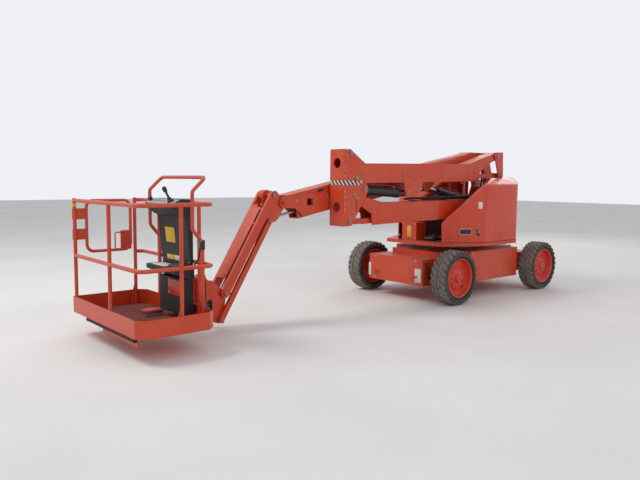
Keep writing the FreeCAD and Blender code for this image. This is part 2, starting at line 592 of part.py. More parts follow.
def hydraulic(base, eye, y, half_width, barrel_radius, rod_radius, pin, barrel_length, retract=10.0):
    """Cylinder at rest: barrel with its base eye, and rod with its open eye, free to retract."""
    length = math.hypot(eye[0] - base[0], eye[1] - base[1])
    eye_radius = pin + 20
    tube_start = between(base, eye, eye_radius - 6)
    tube_end = between(base, eye, barrel_length)
    barrel = fuse(cylinder_between(tube_start, tube_end, y, barrel_radius),
                  bar_y(base, eye_radius, y - half_width, y + half_width))
    bore_start = between(base, eye, eye_radius + 30)
    barrel = barrel.cut(cylinder_between(bore_start, between(base, eye, barrel_length + 5), y,
                                         rod_radius + GAP))
    barrel = barrel.cut(bar_y(base, pin + GAP, y - half_width - 1, y + half_width + 1))
    rod_start = between(base, eye, eye_radius + 30 + retract)
    rod_end = between(base, eye, length - pin - 4)
    rod = fuse(cylinder_between(rod_start, rod_end, y, rod_radius),
               bar_y(eye, pin + 18, y - half_width, y + half_width))
    return barrel, rod.cut(bar_y(eye, pin + GAP, y - half_width - 1, y + half_width + 1))


tower_barrel, tower_rod = hydraulic(TOWER_CYLINDER_BASE, TOWER_CYLINDER_EYE, TOWER_Y, EYE_HALF, 58, 32,
                                    ARM_PIN, 690)
save("tower_cylinder_barrel", tower_barrel)
save("tower_cylinder_rod", tower_rod)
boom_barrel, boom_rod = hydraulic(BOOM_CYLINDER_BASE, BOOM_CYLINDER_EYE, BOOM_Y, 40, 56, 32,
                                  ARM_PIN, 950)
save("boom_cylinder_barrel", boom_barrel)
save("boom_cylinder_rod", boom_rod)

# Boom sections are drawn level at the pivot's height and tilted about the boom's own line
BOOM_ANGLE = math.radians(BOOM_TILT)
BOOM_WAY = FreeCAD.Vector(math.cos(BOOM_ANGLE), 0, -math.sin(BOOM_ANGLE))
BOOM_UP = FreeCAD.Vector(math.sin(BOOM_ANGLE), 0, math.cos(BOOM_ANGLE))


def on_boom(x, below_top):
    """Point under the boom's top line: the top line is read at X, then dropped square to it."""
    top = BOOM_TOP_AT[1] - (x - BOOM_TOP_AT[0]) * math.tan(BOOM_ANGLE)
    return FreeCAD.Vector(x, BOOM_Y, top) - BOOM_UP * below_top


def boom_tube(x_start, x_end, inset, chamfer, wall):
    """Box section with chamfered top edges, hollow, square to the boom."""
    length = (x_end - x_start) / math.cos(BOOM_ANGLE)

    def prism(offset, start_extra, end_extra, corner):
        half = BOOM_WIDTH / 2.0 - offset
        top = -offset
        bottom = -BOOM_DEPTH + offset
        points = [(-half, bottom), (half, bottom), (half, top - corner), (half - corner, top),
                  (-half + corner, top), (-half, top - corner)]
        start = on_boom(x_start, 0) - BOOM_WAY * start_extra
        corners = [start + FreeCAD.Vector(0, 1, 0) * a + BOOM_UP * b for a, b in points]
        face = Part.Face(Part.makePolygon(corners + corners[:1]))
        return face.extrude(BOOM_WAY * (length + start_extra + end_extra))

    return prism(inset, 0, 0, chamfer).cut(prism(inset + wall, 10, 10, chamfer - 5))


base_tube = boom_tube(BOOM_REAR_X, BOOM_BASE_FRONT, 0, BOOM_CHAMFER, BOOM_SHEET)
tube_top_x = BOOM_REAR_X + BOOM_FLAT_RUN
cap_z = on_boom(tube_top_x, 0).z
base_tube = base_tube.cut(box((BEHIND_TAIL, BOOM_FAR - 1, cap_z),
                              (BOOM_BASE_FRONT, BOOM_NEAR + 1, ABOVE_ALL)))
rear_cap = box((BOOM_REAR_X + 40, BOOM_FAR, cap_z - BOOM_SHEET), (tube_top_x + 40, BOOM_NEAR, cap_z))
cheek_front_x = BOOM_PIVOT[0] + 700
boom_cheek_outline = [add(BOOM_PIVOT, (-58, -30)), add(BOOM_PIVOT, (-50, 50)), (BOOM_PIVOT[0] + 120, cap_z),
                      (tube_top_x, cap_z), (cheek_front_x, on_boom(cheek_front_x, 10).z),
                      (cheek_front_x, BOOM_PIVOT[1] - 60), add(BOOM_PIVOT, (80, -70)),
                      add(BOOM_PIVOT, (0, -58))]
EYE_LUG = ((-290, 220), (170, 140), (60, -20), (0, -50), (-55, -20))
eye_lug = [add(BOOM_CYLINDER_EYE, offset) for offset in EYE_LUG]
boom_pieces = [base_tube, rear_cap]
for low, high in ((BOOM_FAR, BOOM_FAR + 12), (BOOM_NEAR - 12, BOOM_NEAR)):
    boom_pieces.append(plate_y(boom_cheek_outline, low, high))
    boom_pieces.append(plate_y(eye_lug, low, high))
boom_pieces.append(bar_y(BOOM_PIVOT, BUSH_RADIUS, BOOM_FAR, BOOM_NEAR))
boom_pieces.append(bar_y(BOOM_CYLINDER_EYE, ARM_PIN, BOOM_Y + 42, BOOM_NEAR))
boom_pieces.append(bar_y(BOOM_CYLINDER_EYE, ARM_PIN, BOOM_FAR, BOOM_Y - 42))
pad = FLY_GAP - GAP
pad_run = (BOOM_BASE_FRONT - 130, BOOM_BASE_FRONT - 50)
for drop, low, high in ((BOOM_DEPTH - BOOM_SHEET - pad, BOOM_FAR + 60, BOOM_NEAR - 60),
                        (BOOM_SHEET - 1, BOOM_FAR + 60, BOOM_NEAR - 60)):
    corners = [on_boom(pad_run[0], drop), on_boom(pad_run[1], drop)]
    corners += [corner - BOOM_UP * (pad + 1) for corner in reversed(corners)]
    boom_pieces.append(plate_y([(c.x, c.z) for c in corners], low, high))
for low, high in ((BOOM_FAR + BOOM_SHEET - 1, BOOM_FAR + BOOM_SHEET + pad),
                  (BOOM_NEAR - BOOM_SHEET - pad, BOOM_NEAR - BOOM_SHEET + 1)):
    corners = [on_boom(pad_run[0], 110), on_boom(pad_run[1], 110), on_boom(pad_run[1], 200),
               on_boom(pad_run[0], 200)]
    boom_pieces.append(plate_y([(c.x, c.z) for c in corners], low, high))
boom_base = fuse(*boom_pieces)
boom_base = boom_base.cut(bar_y(BOOM_PIVOT, ARM_PIN + GAP, BOOM_FAR - 1, BOOM_NEAR + 1))
save("boom_base", boom_base)

# Fly boom with its head box and nose cheeks
FLY_INSET = BOOM_SHEET + FLY_GAP
fly_tube = boom_tube(FLY_RUN[0], FLY_RUN[1], FLY_INSET, BOOM_CHAMFER - 10, BOOM_SHEET)
CHEEK_OUT = 12.0
LEVEL_PIN = 16.0
cheek_outline = [(2520, 1457), (NOSE_PIN[0] + 28, NOSE_PIN[1] + 61), (NOSE_PIN[0] + 56, NOSE_PIN[1] - 10),
                 (NOSE_PIN[0] + 20, NOSE_PIN[1] - 62), (3146, 1259), (3015, 1160), (2520, 1262)]
square_hole = box((2886, BOOM_FAR - 50, 1288), (2972, BOOM_NEAR + 50, 1365))
nose_pieces = [fly_tube]
for low, high in ((BOOM_FAR - CHEEK_OUT, BOOM_FAR), (BOOM_NEAR, BOOM_NEAR + CHEEK_OUT)):
    nose_pieces.append(plate_y(cheek_outline, low, high))
for low, high in ((BOOM_FAR - 1, BOOM_FAR + FLY_INSET + 2), (BOOM_NEAR - FLY_INSET - 2, BOOM_NEAR + 1)):
    nose_pieces.append(plate_y([HEAD_TOP[0], HEAD_TOP[1], (HEAD_TOP[1][0], HEAD_TOP[1][1] - 45), (3080, 1240),
                                (HEAD_TOP[0][0], 1330)], low, high))
head_sheet = [HEAD_TOP[0], HEAD_TOP[1], add(HEAD_TOP[1], (0, -HEAD_SHEET)), add(HEAD_TOP[0], (0, -HEAD_SHEET))]
nose_pieces.append(plate_y(head_sheet, BOOM_FAR, BOOM_NEAR))
nose_pieces.append(bar_y(NOSE_PIN, ARM_PIN, BOOM_FAR - CHEEK_OUT - 40, BOOM_NEAR + CHEEK_OUT + 40))
nose_pieces.append(bar_y(LEVEL_BASE_PIN, LEVEL_PIN, BOOM_FAR + FLY_INSET + 2, BOOM_NEAR - FLY_INSET - 2))
fly = fuse(*nose_pieces).cut(square_hole)
save("fly_boom", fly)


# Levelling cylinder inside the nose
LEVEL_Y = BOOM_Y + 38.0
LEVEL_HALF = 28.0
LEVEL_RETRACT = 264.0
level_barrel, level_rod = hydraulic(LEVEL_BASE_PIN, LEVEL_EYE, LEVEL_Y, LEVEL_HALF, 26, 15, LEVEL_PIN,
                                    555, LEVEL_RETRACT)
save("level_cylinder_barrel", level_barrel)
save("level_cylinder_rod", level_rod)

# Jib: four pivots of a parallelogram
JIB_ANGLE = math.radians(JIB_TILT)
JIB_RUN = (JIB_LENGTH * math.cos(JIB_ANGLE), -JIB_LENGTH * math.sin(JIB_ANGLE))
JIB_LINK_PIN = add(JIB_PIN, JIB_LINK_OFFSET)
PLATFORM_PIN = add(JIB_PIN, JIB_RUN)
PLATFORM_LINK_PIN = add(JIB_LINK_PIN, JIB_RUN)
JIB_PIN_RADIUS = 20.0
NOSE_FREE = 10.0
KNUCKLE_NEAR = BOOM_NEAR - NOSE_FREE - KNUCKLE_PLATE
KNUCKLE_FAR = KNUCKLE_NEAR - 2 * KNUCKLE_PLATE - 67.0
JIB_NEAR = BOOM_NEAR - NOSE_FREE + SIDE_GAP
JIB_FAR = BOOM_FAR + NOSE_FREE - SIDE_GAP
BARS = ((JIB_NEAR, JIB_NEAR + JIB_BAR), (JIB_FAR - JIB_BAR, JIB_FAR))

knuckle_outline = [add(NOSE_PIN, (-42, 38)), add(NOSE_PIN, (20, 62)), add(JIB_PIN, (-60, 50)),
                   add(JIB_PIN, (30, 42)), add(JIB_PIN, (48, -10)), add(JIB_LINK_PIN, (40, 0)),
                   add(JIB_LINK_PIN, (10, -40)), add(LEVEL_EYE, (0, -38)), add(LEVEL_EYE, (-36, -10)),
                   add(NOSE_PIN, (-52, -20))]
knuckle_pieces = [plate_y(knuckle_outline, KNUCKLE_NEAR, KNUCKLE_NEAR + KNUCKLE_PLATE),
                  plate_y(knuckle_outline, KNUCKLE_FAR, KNUCKLE_FAR + KNUCKLE_PLATE),
                  bar_y(add(NOSE_PIN, (110, -20)), 28, KNUCKLE_FAR, KNUCKLE_NEAR + KNUCKLE_PLATE),
                  bar_y(NOSE_PIN, ARM_PIN + 24, BOOM_FAR + NOSE_FREE, KNUCKLE_NEAR + KNUCKLE_PLATE)]
JIB_DRUM_RADIUS = 58.0
knuckle_pieces.append(bar_y(JIB_PIN, JIB_DRUM_RADIUS, BOOM_FAR + NOSE_FREE, KNUCKLE_FAR + KNUCKLE_PLATE))
for pin in (JIB_PIN, JIB_LINK_PIN):
    knuckle_pieces.append(bar_y(pin, JIB_PIN_RADIUS, BARS[1][0] - 4, BARS[0][1] + 4))
level_side = (LEVEL_Y - LEVEL_HALF - 2, LEVEL_Y + LEVEL_HALF + 2)
knuckle_pieces.append(bar_y(LEVEL_EYE, LEVEL_PIN, KNUCKLE_FAR, level_side[0]))
knuckle_pieces.append(bar_y(LEVEL_EYE, LEVEL_PIN, level_side[1], KNUCKLE_NEAR + KNUCKLE_PLATE))
jib_knuckle = fuse(*knuckle_pieces)
jib_knuckle = jib_knuckle.cut(bar_y(NOSE_PIN, ARM_PIN + GAP, BOOM_FAR, BOOM_NEAR))
save("jib_knuckle", jib_knuckle)


def bar_between(a, b, depth, y_low, y_high):
    """Flat bar with round ends between two XZ points."""
    length = math.hypot(b[0] - a[0], b[1] - a[1])
    side = (-(b[1] - a[1]) / length * depth / 2.0, (b[0] - a[0]) / length * depth / 2.0)
    body = plate_y([add(a, side), add(b, side), (b[0] - side[0], b[1] - side[1]),
                    (a[0] - side[0], a[1] - side[1])], y_low, y_high)
    return fuse(body, bar_y(a, depth / 2.0, y_low, y_high), bar_y(b, depth / 2.0, y_low, y_high))


jib_pieces = [bar_between(JIB_PIN, PLATFORM_PIN, JIB_DEPTH, low, high) for low, high in BARS]
box_start = between(JIB_PIN, PLATFORM_PIN, 170)
box_end = between(JIB_PIN, PLATFORM_PIN, JIB_LENGTH - 200)
jib_pieces.append(bar_between(box_start, box_end, JIB_DEPTH, JIB_FAR - 1, JIB_FAR + JIB_FAR_BOX))
TOP_SIDE = (math.sin(JIB_ANGLE) * 27.0, math.cos(JIB_ANGLE) * 27.0)
for distance in (190, 370):
    tie = add(between(JIB_PIN, PLATFORM_PIN, distance), TOP_SIDE)
    jib_pieces.append(bar_y(tie, 16, JIB_FAR - 5, JIB_NEAR + 5))
jib_arm = fuse(*jib_pieces)
for pin in (JIB_PIN, PLATFORM_PIN):
    jib_arm = jib_arm.cut(bar_y(pin, JIB_PIN_RADIUS + GAP, BARS[1][0] - 1, BARS[0][1] + 1))
save("jib_arm", jib_arm)

link_pieces = [bar_between(JIB_LINK_PIN, PLATFORM_LINK_PIN, JIB_LINK_DEPTH, low, high) for low, high in BARS]
UNDER_SIDE = (-math.sin(JIB_ANGLE) * 12.0, -math.cos(JIB_ANGLE) * 12.0)
link_tie = add(between(JIB_LINK_PIN, PLATFORM_LINK_PIN, JIB_LENGTH - 300), UNDER_SIDE)
link_pieces.append(bar_y(link_tie, 14, JIB_FAR - 5, JIB_NEAR + 5))
jib_link = fuse(*link_pieces)
for pin in (JIB_LINK_PIN, PLATFORM_LINK_PIN):
    jib_link = jib_link.cut(bar_y(pin, JIB_PIN_RADIUS + GAP, BARS[1][0] - 1, BARS[0][1] + 1))
save("jib_link", jib_link)

jib_barrel, jib_rod = hydraulic(JIB_LINK_PIN, PLATFORM_PIN, JIB_CYLINDER_Y, JIB_EYE_HALF, 33, 18,
                                JIB_PIN_RADIUS, 780)
save("jib_cylinder_barrel", jib_barrel)
save("jib_cylinder_rod", jib_rod)

# Platform bracket with the rotator
ROTATOR_RADIUS = 68.0
ROTATOR_SHAFT = 30.0
ROTATOR_Z = (PLATFORM_BOTTOM + 95.0, PLATFORM_BOTTOM + 345.0)
BRACKET_Z = (ROTATOR_Z[0] + 25.0, ROTATOR_Z[1] - 25.0)
bracket_plate = [add(PLATFORM_PIN, (-40, 34)), add(PLATFORM_PIN, (20, 44)), (ROTATOR_X - 90, BRACKET_Z[1]),
                 (ROTATOR_X - 20, BRACKET_Z[1]), (ROTATOR_X - 20, BRACKET_Z[0]),
                 (ROTATOR_X - 90, BRACKET_Z[0]), add(PLATFORM_LINK_PIN, (60, -20)),
                 add(PLATFORM_LINK_PIN, (0, -40)), add(PLATFORM_LINK_PIN, (-38, 0))]
pieces = [plate_y(bracket_plate, KNUCKLE_NEAR, KNUCKLE_NEAR + KNUCKLE_PLATE),
          plate_y(bracket_plate, KNUCKLE_FAR, KNUCKLE_FAR + KNUCKLE_PLATE),
          Part.makeCylinder(ROTATOR_RADIUS, ROTATOR_Z[1] - ROTATOR_Z[0],
                            FreeCAD.Vector(ROTATOR_X, BOOM_Y, ROTATOR_Z[0])),
          box((ROTATOR_X - 62, KNUCKLE_FAR + 2, 350), (ROTATOR_X - 40, KNUCKLE_NEAR + 4, 540)),
          bar_y(PLATFORM_LINK_PIN, JIB_PIN_RADIUS, BARS[1][0] - 4, BARS[0][1] + 4)]
for low, high in ((BARS[1][0] - 4, JIB_CYLINDER_Y - JIB_EYE_HALF - 2),
                  (JIB_CYLINDER_Y + JIB_EYE_HALF + 2, BARS[0][1] + 4)):
    pieces.append(bar_y(PLATFORM_PIN, JIB_PIN_RADIUS, low, high))
platform_bracket = fuse(*pieces)
rotator_bore = Part.makeCylinder(ROTATOR_SHAFT, ABOVE_ALL, FreeCAD.Vector(ROTATOR_X, BOOM_Y, 0))
platform_bracket = platform_bracket.cut(rotator_bore)
save("platform_bracket", platform_bracket)

# Platform carrier: rotator shaft, two yokes and the upright behind the cage
YOKE = 26.0
carrier_pieces = [Part.makeCylinder(ROTATOR_SHAFT - GAP, ROTATOR_Z[1] - ROTATOR_Z[0] + 2 * YOKE + 20,
                                    FreeCAD.Vector(ROTATOR_X, BOOM_Y, ROTATOR_Z[0] - YOKE - 10))]
for low in (ROTATOR_Z[0] - YOKE - 1, ROTATOR_Z[1] + 1):
    carrier_pieces.append(box((ROTATOR_X, BOOM_Y - 62, low), (PLATFORM_REAR_X - 5, BOOM_Y + 62, low + YOKE)))
    carrier_pieces.append(Part.makeCylinder(62, YOKE, FreeCAD.Vector(ROTATOR_X, BOOM_Y, low)))
carrier_pieces.append(box((PLATFORM_REAR_X - 30, BOOM_Y - 150, PLATFORM_BOTTOM - 10),
                          (PLATFORM_REAR_X - GAP, BOOM_Y + 150, ROTATOR_Z[1] + 60)))
save("platform_carrier", fuse(*carrier_pieces))

# Platform tray: floor and toe boards with cut corners
PLATFORM_FRONT_X = PLATFORM_REAR_X + PLATFORM_DEPTH
PLATFORM_LEFT = PLATFORM_Y + PLATFORM_WIDTH / 2.0
PLATFORM_RIGHT = PLATFORM_Y - PLATFORM_WIDTH / 2.0
TOE_SHEET = 6.0


def tray_outline(inset):
    """Plan of the tray, its corners cut."""
    cut = 80.0
    x0, x1 = PLATFORM_REAR_X + inset, PLATFORM_FRONT_X - inset
    y0, y1 = PLATFORM_RIGHT + inset, PLATFORM_LEFT - inset
    turn = inset * (2.0 - math.sqrt(2.0))
    cut = cut - turn
    return [(x0 + cut, y0), (x1, y0), (x1, y1 - cut), (x1 - cut, y1), (x0 + cut, y1), (x0, y1 - cut),
            (x0, y0 + cut)]


tray = plate_z(tray_outline(0), PLATFORM_BOTTOM, PLATFORM_BOTTOM + TOE_BOARD)
tray = tray.cut(plate_z(tray_outline(TOE_SHEET), PLATFORM_BOTTOM + FLOOR_THICK, PLATFORM_TOP))
save("platform_tray", tray)

# Rails: one run round the cage, open at the gate
POST_INSET = TOE_SHEET + RAIL_RADIUS + GAP
RAIL_X = (PLATFORM_REAR_X + POST_INSET, PLATFORM_FRONT_X - POST_INSET)
RAIL_Y = (PLATFORM_RIGHT + POST_INSET, PLATFORM_LEFT - POST_INSET)
GATE_POST_X = PLATFORM_REAR_X + 105.0


def rail_run(z, radius):
    """Rail round the cage from the front right post to the gate post."""
    run = [(RAIL_X[1], RAIL_Y[0], z), (RAIL_X[1], RAIL_Y[1], z), (RAIL_X[0], RAIL_Y[1], z),
           (RAIL_X[0], RAIL_Y[0], z), (GATE_POST_X, RAIL_Y[0], z)]
    return tube_path(run, radius, RAIL_BEND)


TOP_RAIL_Z = PLATFORM_TOP - RAIL_RADIUS
top_rail = rail_run(TOP_RAIL_Z, RAIL_RADIUS)
mid_rail = rail_run(MID_RAIL_Z, RAIL_RADIUS)

# Posts stand on the floor inside the toe boards, with a gusset at each foot
POST_Z = PLATFORM_BOTTOM + FLOOR_THICK
POST_RADIUS = RAIL_RADIUS - 1.0
POST_CAP = 3.0
GUSSET = 6.0
GUSSET_REACH = RAIL_RADIUS + 50.0
GUSSET_HEIGHT = 210.0
# Place, way of the gusset, and height above the top rail's middle
POSTS = (
    (RAIL_X[1], RAIL_Y[0], 0, 1, RAIL_RADIUS + POST_CAP),
    (RAIL_X[1], PLATFORM_Y + 120, 0, 1, 0),
    (PLATFORM_REAR_X + 345, RAIL_Y[1], 1, 0, 0),
    (GATE_POST_X, RAIL_Y[0], 1, 0, RAIL_RADIUS + POST_CAP),
    (RAIL_X[0], PLATFORM_Y + 480, 0, 1, 0),
    (RAIL_X[0], PLATFORM_Y - 330, 0, -1, 0),
)
cage = [top_rail, mid_rail]
for x, y, way_x, way_y, rise in POSTS:
    post = Part.makeCylinder(POST_RADIUS, TOP_RAIL_Z + rise - POST_Z, FreeCAD.Vector(x, y, POST_Z))
    foot = [(0, 0), (GUSSET_REACH, 0), (GUSSET_REACH, 20), (RAIL_RADIUS, GUSSET_HEIGHT), (0, GUSSET_HEIGHT)]
    if way_x:
        corners = [FreeCAD.Vector(x + way_x * a, y - GUSSET / 2, POST_Z + b) for a, b in foot]
        sheet = Part.Face(Part.makePolygon(corners + corners[:1])).extrude(FreeCAD.Vector(0, GUSSET, 0))
    else:
        corners = [FreeCAD.Vector(x - GUSSET / 2, y + way_y * a, POST_Z + b) for a, b in foot]
        sheet = Part.Face(Part.makePolygon(corners + corners[:1])).extrude(FreeCAD.Vector(GUSSET, 0, 0))
    cage += [post, sheet]
save("platform_rails", fuse(*cage))

# Gate: bent tube frame on the right, hinged at the front right post
GATE_GAP = 12.0
GATE_LOW_Z = 830.0
GATE_TOP_Z = TOP_RAIL_Z - 4.0
GATE_TUBE = 16.0
HANDLE_RISE = 180.0
HINGE_Z = (1010.0, 1215.0)
HINGE_PLATE = 110.0
gate_x = (GATE_POST_X + RAIL_RADIUS + GATE_GAP + 18, RAIL_X[1] - 118)
corner_run = [(gate_x[1], RAIL_Y[0], GATE_LOW_Z), (gate_x[1], RAIL_Y[0], GATE_TOP_Z),
              (gate_x[0], RAIL_Y[0], GATE_TOP_Z), (gate_x[0], RAIL_Y[0], GATE_LOW_Z)]
gate_frame = tube_path(corner_run, GATE_TUBE, RAIL_BEND, closed=True)
latch = box((gate_x[0] - 6, RAIL_Y[0] - 5, GATE_LOW_Z), (gate_x[0] + 110, RAIL_Y[0] + 5,
            GATE_LOW_Z + HANDLE_RISE + 20))
handle = tube_path([(gate_x[0] + 105, RAIL_Y[0], GATE_LOW_Z + HANDLE_RISE),
                    (gate_x[0] + 170, RAIL_Y[0], GATE_LOW_Z + HANDLE_RISE),
                    (gate_x[0] + 170, RAIL_Y[0], GATE_LOW_Z)], 7.0, 18.0)
gate_pieces = [gate_frame, latch, handle]
for z in HINGE_Z:
    sleeve = Part.makeCylinder(POST_RADIUS + GAP + 6, HINGE_PLATE,
                               FreeCAD.Vector(RAIL_X[1], RAIL_Y[0], z - HINGE_PLATE / 2))
    web = box((gate_x[1], RAIL_Y[0] - 4, z - HINGE_PLATE / 2), (RAIL_X[1] - RAIL_RADIUS - 2, RAIL_Y[0] + 4,
              z + HINGE_PLATE / 2))
    gate_pieces += [sleeve, web]
gate = fuse(*gate_pieces)
gate = gate.cut(Part.makeCylinder(POST_RADIUS + GAP, ABOVE_ALL, FreeCAD.Vector(RAIL_X[1], RAIL_Y[0], 0)))
save("platform_gate", gate)

# Guard hoop over the console, clear of the top rail
GUARD_RADIUS = 17.0
GUARD_Y = (PLATFORM_Y - 250.0, PLATFORM_Y + 600.0)
GUARD_TOP = 1590.0
GUARD_SHOULDER = 1465.0
GUARD_JOIN = 1200.0
GUARD_KNEE = (1120.0, 1000.0)
GUARD_X = PLATFORM_REAR_X + 160.0
leg_foot = RAIL_X[0] + RAIL_RADIUS + GUARD_RADIUS - 2
hoop = [(GUARD_X, GUARD_Y[0], GUARD_JOIN), (GUARD_X, GUARD_Y[0], GUARD_SHOULDER),
        (RAIL_X[0], GUARD_Y[0], GUARD_TOP), (RAIL_X[0], GUARD_Y[1], GUARD_TOP),
        (GUARD_X, GUARD_Y[1], GUARD_SHOULDER), (GUARD_X, GUARD_Y[1], GUARD_JOIN)]
guard = tube_path(hoop, GUARD_RADIUS, 45.0)
for y in GUARD_Y:
    leg = tube_path([(GUARD_X, y, GUARD_JOIN + 5), (GUARD_X, y, GUARD_KNEE[0]), (leg_foot, y, GUARD_KNEE[1]),
                     (leg_foot, y, POST_Z)], GUARD_RADIUS, 60.0)
    guard = fuse(guard, leg)
guard = guard.cut(mid_rail).cut(top_rail)
save("console_guard", guard)

# Control console on the rear side, its tray and the load box under it
CONSOLE_Y = (PLATFORM_Y - 170.0, PLATFORM_Y + 400.0)
CONSOLE_BACK_X = RAIL_X[0] + RAIL_RADIUS + GAP
CONSOLE_LOW = 770.0
CONSOLE_TOP = 1385.0
# Reach from the console's back and height
PANEL = ((26, CONSOLE_LOW), (70, 1215), (205, 1300), (205, 1340), (120, CONSOLE_TOP), (0, CONSOLE_TOP),
         (0, CONSOLE_LOW))
console = plate_y([(CONSOLE_BACK_X + reach, z) for reach, z in PANEL], CONSOLE_Y[0], CONSOLE_Y[1])
save("control_console", console)

TRAY_LOW = 640.0
TRAY_LIP = 745.0
TRAY_PROFILE = ((0, TRAY_LOW), (60, TRAY_LOW), (200, 700), (200, TRAY_LIP), (26, TRAY_LIP),
                (26, CONSOLE_LOW - GAP), (0, CONSOLE_LOW - GAP))
tool_tray = plate_y([(CONSOLE_BACK_X + reach, z) for reach, z in TRAY_PROFILE], CONSOLE_Y[0], CONSOLE_Y[1] + 20)
save("tool_tray", tool_tray)

LOAD_BOX_Y = (PLATFORM_Y - 60.0, PLATFORM_Y + 400.0)
LOAD_BOX_LOW = 300.0
LOAD_BOX_DEPTH = 110.0
COVER_Y = (PLATFORM_Y + 120.0, PLATFORM_Y + 390.0)
COVER_Z = (470.0, 625.0)
COVER_SHEET = 6.0
load_box_x = CONSOLE_BACK_X + LOAD_BOX_DEPTH
load_box = box((CONSOLE_BACK_X, LOAD_BOX_Y[0], LOAD_BOX_LOW), (load_box_x, LOAD_BOX_Y[1], TRAY_LOW - GAP))
cover = box((load_box_x, COVER_Y[0], COVER_Z[0]), (load_box_x + COVER_SHEET, COVER_Y[1], COVER_Z[1]))
save("load_sensor_box", fuse(load_box, cover))

SWITCH_SIZE = (180.0, 130.0, 62.0)
switch_low = (PLATFORM_REAR_X + 150.0, PLATFORM_Y - 150.0, POST_Z)
save("foot_switch", box(switch_low, [low + size for low, size in zip(switch_low, SWITCH_SIZE)]))

BUMPER_Y = (PLATFORM_Y - 120.0, PLATFORM_Y + 640.0)
BUMPER_DROP = 88.0
BUMPER_SHEET = 6.0
BUMPER_HOSE_RADIUS = 20.0
BUMPER_HOSE_Y = (PLATFORM_Y - 430.0, PLATFORM_Y + 640.0)
bumper_x = PLATFORM_FRONT_X - 50.0
bumper = fuse(box((bumper_x, BUMPER_Y[0], PLATFORM_BOTTOM - BUMPER_DROP),
                  (bumper_x + BUMPER_SHEET, BUMPER_Y[1], PLATFORM_BOTTOM)),
              box((bumper_x - 40, BUMPER_Y[0], PLATFORM_BOTTOM - BUMPER_SHEET - 2),
                  (bumper_x + BUMPER_SHEET, BUMPER_Y[1], PLATFORM_BOTTOM)))
save("front_bumper", bumper)
hose_start = FreeCAD.Vector(PLATFORM_FRONT_X - 22.0, BUMPER_HOSE_Y[0],
                            PLATFORM_BOTTOM - BUMPER_HOSE_RADIUS - GAP)
bumper_hose = Part.makeCylinder(BUMPER_HOSE_RADIUS, BUMPER_HOSE_Y[1] - BUMPER_HOSE_Y[0], hose_start,
                                FreeCAD.Vector(0, 1, 0))
save("bumper_hose", bumper_hose)


# Hoods
def above(p1, p2, p3):
    """Large block on the upper side of a plane through three points."""
    a, b, c = (FreeCAD.Vector(*p) for p in (p1, p2, p3))
    normal = (b - a).cross(c - a).normalize()
    normal = normal if normal.z > 0 else normal * -1
    size = 6000.0
    block = Part.makeBox(size, size, size, FreeCAD.Vector(-size / 2, -size / 2, 0))
    turn = FreeCAD.Rotation(FreeCAD.Vector(0, 0, 1), normal)
    return block.transformGeometry(FreeCAD.Placement(a, turn).toMatrix())


def hood(inner_y):
    """Left hood, open below and towards the arms: a convex body less its own inward shifts."""
    plan = [(HOOD_REAR_X - 100, inner_y), (HOOD_TIP_X, inner_y), (HOOD_RIDGE_X, HOOD_OUTER_Y),
            (HOOD_REAR_X - 100, HOOD_OUTER_Y)]
    body = plate_z(plan, HOOD_BOTTOM, ABOVE_ALL)
    round_tail = Part.makeCylinder(TAIL_RADIUS - 4, ABOVE_ALL, FreeCAD.Vector(0, 0, 0))
    body = body.common(fuse(round_tail, front_half))
    body = body.common(box((HOOD_REAR_X, 0, 0), (2 * TAIL_RADIUS, 2 * TAIL_RADIUS, ABOVE_ALL)))
    ridge = (HOOD_RIDGE_X, HOOD_OUTER_Y, HOOD_SIDE_TOP)
    rear = (HOOD_REAR_CORNER_X, HOOD_OUTER_Y, HOOD_SIDE_TOP)
    peak = (HOOD_PEAK_X, inner_y, HOOD_PEAK_TOP)
    shoulder = (HOOD_SHOULDER[0], inner_y, HOOD_PEAK_TOP - HOOD_SHOULDER[1])
    tip = (HOOD_TIP_X, inner_y, HOOD_TIP_TOP + 40)
    for corner in ((ridge, rear, peak), (ridge, peak, shoulder), (ridge, shoulder, tip)):
        body = body.cut(above(*corner))
    wall = HOOD_WALL
    cavity = body.common(body.translated(FreeCAD.Vector(wall, 0, 0)))
    cavity = cavity.common(body.translated(FreeCAD.Vector(-wall * 1.6, 0, 0)))
    cavity = cavity.common(body.translated(FreeCAD.Vector(0, -wall, -wall)))
    return body.cut(cavity)


HINGE_POST_X = (HOOD_REAR_X + 140.0, HOOD_REAR_X + 500.0)
HINGE_POST_WIDTH = 50.0
HINGE_LIFT = 30.0


def hinged_hood(inner_y):
    """Hood with two hinge knuckles on its inboard top edge."""
    shell = hood(inner_y)
    line = (inner_y - 13, HOOD_PEAK_TOP - 16)
    for x in HINGE_POST_X:
        low = x + 2 * GAP + HINGE_POST_WIDTH / 2
        knuckle = Part.makeCylinder(HOOD_HINGE_RADIUS, 60, FreeCAD.Vector(low, line[0], line[1]),
                                    FreeCAD.Vector(1, 0, 0))
        leaf = box((low, line[0], line[1] - 90), (low + 60, inner_y + 30, line[1] + 2))
        pin_hole = Part.makeCylinder(6 + GAP, 70, FreeCAD.Vector(low - 5, line[0], line[1]),
                                     FreeCAD.Vector(1, 0, 0))
        shell = fuse(shell, knuckle, leaf).cut(pin_hole)
    return shell


